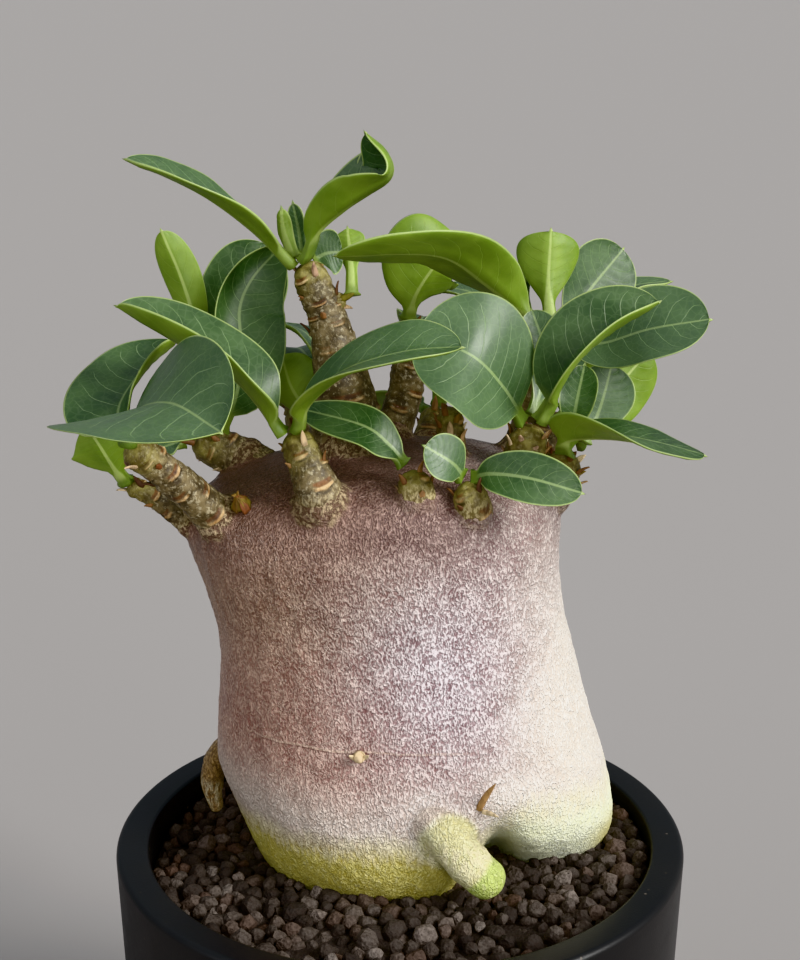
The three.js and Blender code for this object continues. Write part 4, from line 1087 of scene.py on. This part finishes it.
LEAVES = {
    "tall_1": leaf([(-20.5, 4.5, 226.5), (-27, 2, 233.5), (-35.5, -2, 240.5), (-44, -4, 245),
        (-51.5, -4, 247.5)], (0, -0.1, 1), 6.2, fold=(8, 10), widest=0.52),
    "tall_2": leaf([(-18.5, 3.5, 227), (-16, 1, 233), (-11, -3, 238), (-6.5, -4, 241.5), (-2.5, -4, 244.5),
        (-3, -4, 248), (-6.5, -4, 252)], [(-0.6, 0.1, 0.7), (-0.5, 0, 0.9), (-1, 0, 0.1)], 6.8,
        fold=[(60, 70), (60, 68), (60, 55), (62, 20), (62, -5), (60, -5)], widest=0.5),
    "tall_young_1": leaf([(-20.8, 7.3, 227.2), (-22.5, 7.6, 232), (-23.2, 7.6, 236.5)], (0.3, 1, 0), 1.5,
        fold=(10, 10)),
    "tall_young_2": leaf([(-19.4, 8.4, 227), (-20.2, 10.3, 232), (-21.3, 11.5, 237)], (-0.2, -1, 0), 1.7),
    "tall_3": leaf([(-16.9, 7, 226.6), (-14.6, 7.3, 227.8), (-11.4, 8.2, 228)], (0, -1, 0.3), 4.6,
        widest=0.6),
    "tall_4": leaf([(-9.5, 5, 219.8), (-9.6, 7, 224), (-10, 11, 228), (-10.5, 14, 231.5)], (0, 1, 0), 3.3,
        stalk=0.25, widest=0.75),
    "tall_5": leaf([(-15.5, 11, 199), (-19, 20, 203.5), (-22, 30, 204), (-25, 40, 200)], (0, -0.1, 1), 8),
    "tall_6": leaf([(-15, 9.5, 205), (-19, 19, 209), (-24.5, 27, 210)], (0.5, -0.3, 0.8), 5),
    "tall_7": leaf([(-16, 8, 193), (-21.5, 11.5, 199.5), (-24, 15, 205.5)], (0.2, 1, 0.2), 6),
    "fork_1": leaf([(1.5, 16, 213.5), (3, 14, 219), (7, 13, 225), (12, 17, 229)], (-0.3, 1, 0.2), 11,
        fold=(20, 20)),
    "fork_2": leaf([(3, 20, 209), (5, 29, 211), (7, 38, 207), (9, 46, 200)], (0.1, 0.3, 1), 8),
    "rear_1": leaf([(29, 15, 211), (23, 13.5, 217), (17, 6, 223), (9, -3, 229.5), (-1, -8, 231),
        (-12, -10, 230.3)], (0, 0.35, 0.94), 8, fold=[(65, 40), (24, -5), (8, -10)], curl=(5, 5),
        widest=0.55),
    "rear_2": leaf([(31, 17.5, 211.5), (30.5, 20, 219), (31, 22, 230)], (0, 1, 0.1), 7.4, fold=(22, 22),
        widest=0.8),
    "rear_3": leaf([(32.5, 14.5, 209), (40, 8, 209.5), (49.5, 3, 213.5), (60.5, 0, 216)], (-0.1, -0.6, 0.8),
        10),
    "rear_4": leaf([(33, 19, 209.5), (39.5, 25, 217), (47, 30, 225)], (0.3, -0.9, 0.2), 8),
    "rear_5": leaf([(28.5, 19, 208.5), (21, 23, 214), (14, 26, 217), (6.5, 30, 217)], (0, -0.2, 1), 3.6),
    "rear_6": leaf([(28, 18.8, 210.5), (25.5, 24.5, 216), (26, 28.5, 223.5)], (0.8, -0.3, 0), 2.5,
        fold=(30, 30)),
    "rear_7": leaf([(32, 19.5, 206.5), (40.5, 29, 212), (49, 33, 216.5), (58, 35, 217.5)], (0, -0.1, 1), 4),
    "rear_8": leaf([(29.5, 20, 205), (24, 31, 210), (18, 41, 211), (13, 50, 207)], (0, 0.2, 1), 8),
    "front_1": leaf([(-20, -17, 198.5), (-18, -20, 204.5), (-10, -24, 211.5), (1, -27, 215.5),
        (11, -28, 216.5)], [(-0.5, -0.2, 0.8), (-0.1, -0.35, 0.9), (0, -0.35, 0.9)], 10, fold=(0, 22),
        curl=(5, 5)),
    "front_2": leaf([(-22, -16.5, 197.5), (-26, -17, 203.5), (-32, -15, 209), (-43, -12, 215),
        (-53.5, -10, 220.5)], (0.3, 0, 0.95), 8.6, fold=(32, 42), curl=(5, 5), widest=0.55),
    "left_1": leaf([(-51, -23, 197), (-49, -24, 203.5), (-40.5, -36, 208), (-30.5, -50, 206.5)],
        [(-0.6, 0.6, 0.5), (-0.45, 0.1, 0.9), (-0.35, -0.25, 0.9), (-0.35, -0.25, 0.9)], (14, 20),
        fold=(22, 13), widest=0.5),
    "left_2": leaf([(-51.5, -20, 197), (-54, -11, 201), (-51, 3, 205.5), (-46, 16, 208.5)],
        (-0.2, -0.6, 0.75), (12, 8), fold=(0, 45), widest=0.45),
    "low_left_1": leaf([(-54.5, -4, 184.5), (-56.5, -7, 189), (-58.5, -8, 193), (-61, -7, 196.5)],
        (0, 1, 0.1), 8, fold=(15, 15), stalk=0.2, widest=0.5),
    "middle_1": leaf([(-37, 12, 190), (-33.5, 9, 198), (-32, 9.5, 207), (-32.5, 12, 215.5),
        (-30, 14, 221.5), (-24.5, 16, 227.5)], (0.1, -1, 0.2), (6, 9.3), fold=(0, 0), curl=(70, 5),
        widest=0.5),
    "middle_2": leaf([(-44, 16, 191), (-42.5, 20, 203), (-43, 22, 212), (-45.5, 22.5, 221), (-49, 22, 230)],
        (0, 1, 0), 4.2, fold=(15, 15), widest=0.72),
    "middle_3": leaf([(-41, 17.5, 190), (-37, 23, 203), (-34, 26, 215), (-28, 30, 226)], (0.2, -1, 0.2), 9,
        widest=0.7),
    "middle_4": leaf([(-45, 13.5, 188), (-48.5, 12, 187), (-52, 10, 186.5)], (0, -0.4, 1), 4),
    "stub_1": leaf([(1, -18, 191.8), (-2, -18, 195.5), (-7, -17, 199), (-19, -12, 201)], (0.1, -0.6, 0.8),
        (5.6, 4.4)),
    "pale_1": leaf([(12, -20.5, 190), (9.8, -23, 193.3), (4.7, -24, 196.8)], (0.2, -0.8, 0.5), 4.6),
    "pale_2": leaf([(13.5, -21, 189.8), (17, -24, 191.5), (24, -27, 191.5), (33.5, -28, 189)],
        (0, -0.85, 0.5), 5),
    "knob_1": leaf([(24.5, -4.5, 196.5), (20, -9, 204.5), (13.5, -12, 211.5), (3, -10, 215)],
        (0.15, -0.75, 0.65), 13.5, widest=0.55),
    "knob_2": leaf([(27, -5.5, 197), (33.5, -8, 209), (40.5, -8, 215.5), (49.5, -6, 220.5)],
        (-0.2, -0.8, 0.5), 9.5, fold=(5, 75), curl=(10, 0), widest=0.45),
    "knob_3": leaf([(26.5, -2.5, 197.5), (28.5, 2, 204), (28.5, 6, 210), (26.5, 9, 216)], (0.2, -1, 0.1),
        4.6),
    "right_1": leaf([(32.5, -6.5, 190.5), (33, -9, 194.5), (40.5, -14, 196.5), (49, -16, 195.5),
        (58, -16, 193)], (0, 0, 1), 8, fold=[(30, 80), (15, 50), (5, 8), (0, -10)], curl=(0, 0),
        widest=0.5),
    "right_2": leaf([(37, 0, 191.5), (39.5, 3, 195.5), (41, 4, 200), (42.5, 6, 205.5)], (0.2, -1, 0.1),
        6.3),
    "right_3": leaf([(34, -1, 192), (34.8, -2, 199.5), (36.5, 1, 206.5)], (-0.2, -1, 0.1), 3.8),
    "right_4": leaf([(35.5, 2.5, 190), (40, 10, 193.5), (45.5, 16, 199.5), (51.5, 18, 206)],
        (0.2, 0.9, 0.3), 8),
    "back_left_1": leaf([(-24.5, 30.5, 192.5), (-33, 37, 194.5), (-41.5, 45, 196), (-50, 51, 194)],
        (0, -0.2, 1), 9),
    "back_left_2": leaf([(-20.5, 33.5, 192.5), (-21, 43, 195), (-22, 52, 191), (-24, 58, 183)], (0, 0.4, 1),
        8.5),
    "back_middle_1": leaf([(8.5, 36, 190.5), (8, 45, 197), (6, 55, 198.5), (4, 64, 194)], (0, 0, 1), 8),
    "back_middle_2": leaf([(6.5, 37, 189), (1, 46, 189), (-5, 54, 184), (-9, 60, 175)], (0, 0.5, 1), 7.5),
    "back_right_1": leaf([(35.4, 29.4, 190.8), (43, 36.5, 198), (51, 43, 201), (58.5, 48, 198.5)],
        (0, 0, 1), 8.5),
    "back_right_2": leaf([(34.2, 31.6, 187.6), (40.5, 41.5, 191.5), (46, 50, 191), (50, 57, 187)],
        (0.2, 0.3, 1), 8),
    "back_right_3": leaf([(33, 31, 191), (29, 40, 199), (25, 49, 204), (21, 58, 204)], (0, 0, 1), 8),
}
print("leaves:", len(LEAVES))

# %% [markdown]
# The blade is 0.75 mm thick and thins at its margin. Under it runs the midrib, strong at the stalk and weak
# near the tip. The rows are closer near the tip, where the outline turns quickly.

# %% Leaf surface
LEAF_ROW_COUNT = 44
TOP_COLUMNS = 15
STALK_RADIUS = 1.1
TIP_HALF_WIDTH = 0.3
BLADE_THICKNESS = 0.75


def blade_half_width(t, half, stalk, widest):
    """Half-width along the leaf: b^p (1 - b)^0.5 over its own peak, with b the way along the blade and p
    set so that the peak is at `widest`. The stalk's radius joins it by (stalk^2 + blade^2)^0.5."""
    b = np.clip((t - stalk) / (1 - stalk), 0, 1)
    power = 0.5 * widest / (1 - widest)
    peak = widest**power * (1 - widest) ** 0.5
    blade = b**power * (1 - b) ** 0.5 / peak
    return np.maximum(np.hypot(STALK_RADIUS * (1 - b), half * blade), TIP_HALF_WIDTH)


def leaf_piece(name, form, seed):
    """Rings across the leaf: along the top from margin to margin, then back along the underside. A point on
    the top lies at width * (cos, sin) of the fold angle plus half of the curl, from the middle line."""
    t = 1 - (1 - np.linspace(0, 1, LEAF_ROW_COUNT)) ** 1.6
    top = np.sin(np.linspace(-np.pi / 2, np.pi / 2, TOP_COLUMNS))
    s = np.concatenate([top, top[-2:0:-1]])[None, :]
    under = (np.arange(s.size) >= TOP_COLUMNS)[None, :]
    middle = spline(form["line"], t)
    along = heading(form["line"], t)
    normal = spline(form["face"], t)
    normal = unit(normal - along * (normal * along).sum(-1, keepdims=True))
    right = np.cross(along, normal)
    fold, curl = np.radians(spline(form["fold"], t)), np.radians(spline(form["curl"], t))
    t = t[:, None]
    is_right = s >= 0
    half = np.where(is_right, form["right"], form["left"])
    width = blade_half_width(t, half, form["stalk"], form["widest"])
    swelling = 1 + 0.55 * np.exp(-t / 0.018)
    reach = width * np.abs(s) * swelling
    bend = np.where(is_right, curl[:, 1:], curl[:, :1]) * np.abs(s)
    lift = np.where(is_right, fold[:, 1:], fold[:, :1]) + bend / 2
    slope = lift + bend / 2
    hand = np.where(is_right, 1.0, -1.0)
    face = (normal[:, None] * np.cos(slope)[..., None]
            - right[:, None] * (hand * np.sin(slope) * (np.abs(s) > 0))[..., None])
    points = (middle[:, None] + right[:, None] * (hand * reach * np.cos(lift))[..., None]
              + normal[:, None] * (reach * np.sin(lift))[..., None])
    across = s * width
    rib = (1.3 * (1 - t) ** 1.3 + 0.15) * np.exp(-((across / (0.75 + 0.4 * (1 - t))) ** 2))
    thickness = BLADE_THICKNESS * np.sqrt(np.clip(1 - s**6, 0, 1)) * np.minimum(1, 6 * (1 - t) + 0.35) + rib
    groove = 0.2 * np.exp(-((across / 0.5) ** 2)) * ease(t, 0.1, 0.25) * (1 - t)
    ripple = 0.28 * np.sin(11 * t + seed + 2.2 * hand) * np.abs(s) ** 3 * np.sin(np.pi * np.clip(t, 0, 1))
    b = np.clip((t - form["stalk"]) / (1 - form["stalk"]), 0, 1)
    quilt = 0.1 * np.cos(2 * np.pi * (9 * b - 1.1 * np.abs(s) - 1.1 * np.abs(s) ** 3 + 0.5 * is_right))
    quilt = quilt * (1 - np.abs(s)) * 4 * np.abs(s) * ease(b, 0, 0.2)
    offset = ripple + quilt - np.where(under, thickness, groove)
    points = points + face * offset[..., None]
    end = middle[-1] + along[-1] * 0.9 - face[-1, TOP_COLUMNS // 2] * 0.3
    piece = fill_mesh(name, *skin(points, middle[0] - along[0] * 0.3, end))
    blade = np.stack([t + 0 * s, s + 0 * t, across], -1).reshape(-1, 3)
    margin = ((1 - np.abs(s)) * width).ravel()
    keep(
        piece,
        blade=np.vstack([blade, [0, 0, 0], [1, 0, 0]]),
        margin=np.append(margin, [1, 0]),
        underside=np.append((under + 0 * t).ravel(), [0, 0]),
        tint=np.full(len(margin) + 2, 0.5 + 0.5 * math.sin(seed * 12.9)),
    )
    return piece


# %% [markdown]
# The veins are drawn from the leaf's own two coordinates: how far along the blade, and how far from the
# midrib to the margin. Side veins leave the midrib in turn on the left and on the right, sweep towards the
# tip and end inside the pale margin. The underside is yellower, and some light passes through the blade.

# %% Leaf material
SIDE_VEINS = 9


def leaf_green():
    """Green above with pale veins, yellow-green below, and a pale margin on both sides."""
    material, tools, place = new_material("leaf_green")
    along = tools.node("SeparateXYZ", None, {0: tools.attribute("blade", "Vector")})
    s, across = (Signal(tools.tree, along.socket.node.outputs[number]) for number in (1, 2))
    margin, underside, tint = (tools.attribute(name) for name in ("margin", "underside", "tint"))
    away = abs(s)
    sway = place.noise(240, detail=2) - 0.5
    phase = along * (SIDE_VEINS * 1.12) - away * 1.1 - away**3 * 1.1 + s.math("GREATER_THAN", s, 0.0) * 0.5
    phase = phase + sway * 0.35
    to_vein = abs(phase.math("FRACT", phase) - 0.5)
    veins = to_vein.between(0.036, 0.008) * away.between(0.86, 0.7)
    web = place.texture("Voronoi", 620, settings={"feature": "DISTANCE_TO_EDGE"}).between(0.1, 0.02)
    midrib = (abs(across) + along * 0.25).between(0.56, 0.3)
    edge = margin.between(0.38, 0.1)
    clouds = place.noise(130, detail=3).between(0.3, 0.7)
    cells = place.noise(1900, detail=2)

    green = blend(clouds, paint(44, 68, 36), paint(68, 92, 54))
    green = blend(tint * 0.45, green, paint(94, 116, 86))
    net = (veins * 0.4 + web * 0.07).at_most(0.42)
    upper = blend(net, green, paint(146, 170, 122))
    upper = blend(midrib * 0.55, upper, paint(146, 166, 110))
    lower = blend(clouds, paint(96, 122, 36), paint(120, 144, 56))
    lower = blend(net * 0.7, lower, paint(150, 168, 92))
    lower = blend(midrib * 0.7, lower, paint(168, 184, 112))
    colour = blend(underside, upper, lower)
    colour = blend(edge * 0.6, colour, paint(172, 188, 122))
    stem = along.between(0.17, 0.07)
    colour = blend(stem, colour, blend(clouds, paint(92, 116, 46), paint(126, 146, 72)))
    roughness = 0.4 + clouds * 0.1 + underside * 0.1
    height = cells * 0.12 - veins * 0.3
    return surface(
        material, colour, roughness, (height, 0.12),
        Subsurface_Weight=0.15, Subsurface_Radius=(0.7, 1.0, 0.25), Subsurface_Scale=0.001,
    )


green_material = leaf_green()
for number, (name, form) in enumerate(LEAVES.items()):
    piece = leaf_piece("blade_" + name, form, number * 1.7)
    finish_piece(piece, green_material, "leaf", "leaf_" + name)
print("faces of one leaf:", len(piece.data.polygons))

# %% [markdown]
# ## The gravel
# A closed bed fills the pot, and loose grains of lava gravel cover it in two layers. They are dropped at
# random and then pushed apart, a little at a time, until they lie side by side. The pot's wall and the caudex
# push them too.

# %% Bed of gravel
SOIL_TOP = 100.4
SOIL_TILT = 0.03
BED_DROP = 1.7
BED_FOOT = CAUDEX_BOTTOM - 0.6
BED_FLOOR = FLOOR + 0.5
WALL_GAP = 0.5
SECTION_ROWS = 120
SECTION_SIDES = 160


def caudex_outline(z, grow):
    """One section of the caudex at a height, as a ring of points, moved outward from its middle."""
    points = caudex_body(SECTION_SIDES, SECTION_ROWS)[0]
    rings = points[:-2].reshape(SECTION_ROWS, SECTION_SIDES, 3)
    row = np.abs(rings[:, 0, 2] - z).argmin()
    ring = rings[row].copy()
    centre = np.array([*CAUDEX_MIDDLE, ring[0, 2]])
    return ring + unit(ring - centre) * grow


def wall_ring(ring, z):
    """The ring just inside the pot's wall, at a height, that lies outward of a ring's points."""
    angle = np.arctan2(ring[:, 1], ring[:, 0])
    radius = INNER_BASE + (INNER_TOP - INNER_BASE) * (z - FLOOR) / (POT_HEIGHT - FLOOR) - WALL_GAP
    return np.stack([radius * np.cos(angle), radius * np.sin(angle), np.full(len(ring), float(z))], -1)


def gravel_bed():
    """A closed body: a hollow for the caudex's foot, the top as far as the wall, and down to the floor."""
    foot = [caudex_outline(z, grow=0.3) for z in (91, 94, 97, 99)]
    under = foot[0] * [1, 1, 0] + [0, 0, BED_FOOT]
    top = [foot[-1] * (1 - f) + wall_ring(foot[-1], SOIL_TOP) * f for f in (0.05, 0.35, 0.7, 1.0)]
    for ring in top:
        ring[:, 2] = SOIL_TOP - BED_DROP + SOIL_TILT * ring[:, 0]
    sides = [wall_ring(foot[-1], z) for z in (80, 55, 30, BED_FLOOR)]
    rings = [under, *foot, *top, *sides]
    return skin(np.array(rings), [*CAUDEX_MIDDLE, BED_FOOT], [0, 0, BED_FLOOR])


# %% [markdown]
# A grain starts as a ball of 80 triangles. Random planes shave it flat here and there, as the breaking of
# rock does, and it is stretched and turned at random. The same small ball serves every grain.

# %% Grains of gravel
GRAIN_COUNT = 1060
LAYER_DROPS = (1.9, 0.0)
PUSHING_STEPS = 60
CROWDING = 0.92
SHAVING_PLANES = 12


def ball():
    """Points and triangles of an icosphere, from Blender's own primitive, on a sphere of radius 1."""
    mesh = bmesh.new()
    bmesh.ops.create_icosphere(mesh, subdivisions=2, radius=1)
    mesh.verts.ensure_lookup_table()
    points = np.array([vertex.co for vertex in mesh.verts])
    faces = np.array([[vertex.index for vertex in face.verts] for face in mesh.faces])
    mesh.free()
    return points, faces


def spread_grains(rng, count):
    """Places for grains: random in the disc, then pushed apart step by step. In each step two grains that
    are nearer than CROWDING * (the sum of their radii) both move by 0.3 of what is missing, the caudex moves
    a grain out of its outline, and the wall moves it in."""
    size = 1.15 + 1.9 * rng.beta(1.6, 2.8, count)
    angle, distance = rng.uniform(0, 2 * np.pi, count), INNER_TOP * np.sqrt(rng.uniform(0.05, 1, count))
    spot = np.stack([distance * np.cos(angle), distance * np.sin(angle)], -1)
    outline = caudex_outline(99.5, grow=0.2)[:, :2]
    normal = unit(np.roll(outline, -1, 0) - np.roll(outline, 1, 0))[:, ::-1] * [1, -1]
    for _ in range(PUSHING_STEPS):
        gap = spot[:, None] - spot[None, :]
        apart = np.linalg.norm(gap, axis=-1) + 1e-6
        missing = np.maximum(CROWDING * (size[:, None] + size[None, :]) - apart, 0)
        np.fill_diagonal(missing, 0)
        spot = spot + (gap / apart[..., None] * missing[..., None]).sum(1) * 0.3
        nearest = np.linalg.norm(spot[:, None] - outline[None], axis=-1).argmin(1)
        outside = ((spot - outline[nearest]) * normal[nearest]).sum(-1)
        spot = spot + normal[nearest] * np.maximum(0.75 * size - outside, 0)[:, None]
        far = np.linalg.norm(spot, axis=-1)
        limit = INNER_TOP - 0.6 - size
        spot = spot * np.minimum(1, limit / far)[:, None]
    return spot, size


def turn_matrices(rng, count):
    """Random rotations, from random unit quaternions (w, x, y, z)."""
    w, x, y, z = unit(rng.normal(size=(count, 4))).T
    rows = [
        [1 - 2 * (y * y + z * z), 2 * (x * y - w * z), 2 * (x * z + w * y)],
        [2 * (x * y + w * z), 1 - 2 * (x * x + z * z), 2 * (y * z - w * x)],
        [2 * (x * z - w * y), 2 * (y * z + w * x), 1 - 2 * (x * x + y * y)],
    ]
    return np.moveaxis(np.array(rows), -1, 0)


# %% [markdown]
# The places, turns and shaving planes are arrays over all grains at once, so a layer needs no loop.

# %% Layers of grains
def grain_layer(rng, count, drop):
    """Points, faces and tints of one layer of grains. Each corner of the ball is drawn in to the nearest of
    the random planes in front of it: its radius is the least distance / (corner . plane normal)."""
    spot, size = spread_grains(rng, count)
    points, faces = ball()
    stretch = rng.uniform(0.78, 1.2, (count, 1, 3))
    planes = unit(rng.normal(size=(count, SHAVING_PLANES, 3)))
    facing = np.einsum("vj,npj->nvp", points, planes)
    shaved = rng.uniform(0.66, 0.95, (count, 1, SHAVING_PLANES)) / np.maximum(facing, 0.05)
    lumps = points[None] * np.minimum(shaved.min(-1), 1.08)[..., None]
    lumps = lumps * (1 + 0.05 * rng.uniform(-1, 1, (count, len(points), 1)))
    shaped = np.einsum("nij,nkj->nki", turn_matrices(rng, count), lumps * stretch) * size[:, None, None]
    height = SOIL_TOP + SOIL_TILT * spot[:, 0] - 0.45 * size + rng.uniform(-0.6, 0.9, count) - drop
    centre = np.concatenate([spot, height[:, None]], -1)
    shaped = shaped + centre[:, None]
    numbers = faces[None] + (np.arange(count) * len(points))[:, None, None]
    return shaped.reshape(-1, 3), numbers.reshape(-1, 3), np.repeat(rng.uniform(0, 1, count), len(points))


# %% [markdown]
# Lava is full of pores, and shade is painted into them. Each grain has a tint of its own.

# %% Stone and gravel
def lava_gravel():
    """Grey-brown stone with a tint for each grain, darker in its grit, with painted shade in its pores."""
    material, tools, place = new_material("lava_gravel")
    tint = tools.attribute("tint")
    pores = place.texture("Voronoi", 1500)
    grit = place.noise(1300, detail=3, roughness=0.65)
    base = tint.colour(
        (0.0, paint(50, 46, 44)), (0.35, paint(74, 68, 64)), (0.6, paint(92, 85, 80)),
        (0.85, paint(86, 72, 65)), (1.0, paint(124, 116, 110)),
    )
    colour = blend(grit.between(0.35, 0.7) * 0.6, base, paint(50, 42, 38))
    # painted shade in the pores
    colour = blend(pores.between(0.3, 0.05) * 0.5, colour, paint(30, 25, 23))
    height = grit * 0.6 + pores * 0.7
    return surface(material, colour, 0.9, (height, 0.3), Specular_IOR_Level=0.25)


rng = np.random.default_rng(11)
layers = [grain_layer(rng, GRAIN_COUNT // 2, drop) for drop in LAYER_DROPS]
grain_points = np.vstack([layer[0] for layer in layers])
grain_faces = np.vstack([layers[0][1], layers[1][1] + len(layers[0][0])])
gravel = lava_gravel()
bed = fill_mesh("gravel_bed", *gravel_bed())
keep(bed, tint=np.full(len(bed.data.vertices), 0.1))
finish_piece(bed, gravel, "gravel", "soil")
grains = fill_mesh("gravel_grains", grain_points, np.zeros((0, 4), int), grain_faces)
grains.data.shade_flat()
keep(grains, tint=np.concatenate([layer[2] for layer in layers]))
finish_piece(grains, gravel, "gravel", "soil")
print("gravel faces:", len(grains.data.polygons))

# %% [markdown]
# ## Light and floor
# The photographed plant stands in strong soft daylight from the right and above. A sun lamp with a wide disc
# takes its place, because it lights the whole floor evenly. A low one in front gives the silver sheen on the
# skin, which is also painted into the bark's colour. Two weak ones fill the left and the top, and the pale
# world gives the rest. The floor is a very large disc, so that its edge lies at the horizon.

# %% Studio
FLOOR_RADIUS = 60000.0
FLOOR_SIDES = 96
angle = turns(FLOOR_SIDES)
rim = np.stack([np.cos(angle), np.sin(angle), 0 * angle], -1) * FLOOR_RADIUS
numbers = np.arange(FLOOR_SIDES)
fan = np.stack([numbers, (numbers + 1) % FLOOR_SIDES, np.full(FLOOR_SIDES, FLOOR_SIDES)], -1)
floor = fill_mesh("studio_floor", np.vstack([rim, [0, 0, 0]]), np.zeros((0, 4), int), fan)
material = new_material("floor_paper")[0]
floor.data.materials.append(surface(material, (*paint(156, 152, 150), 1), 0.9, Specular_IOR_Level=0.1))


def sunlight(name, place, strength, disc, colour):
    """A sun lamp that shines from a place to the plant. Its disc, in degrees, makes the shadows soft."""
    data = bpy.data.lights.new(name, "SUN")
    data.energy = strength
    data.angle = math.radians(disc)
    data.color = colour
    light = bpy.data.objects.new(name, data)
    light.rotation_euler = Vector(place).to_track_quat("Z", "Y").to_euler()
    light.location = place
    bpy.context.scene.collection.objects.link(light)


sunlight("daylight", (0.82, -0.55, 0.6), 4.1, 26, (1.0, 0.985, 0.96))
sunlight("window", (0.42, -0.9, 0.1), 1.3, 24, (1.0, 0.99, 0.97))
sunlight("overhead", (-0.15, 0.1, 1.0), 0.45, 80, (0.9, 0.96, 1.0))
sunlight("left_fill", (-0.75, -0.8, 0.4), 0.9, 60, (0.98, 0.98, 1.0))
world = bpy.data.worlds.new("studio")
world.use_nodes = True
background = world.node_tree.nodes["Background"]
background.inputs["Color"].default_value = (0.78, 0.82, 0.86, 1)
background.inputs["Strength"].default_value = 0.46
bpy.context.scene.world = world
bpy.context.scene.view_settings.view_transform = "Khronos PBR Neutral"
print("lamps:", len(bpy.data.lights))
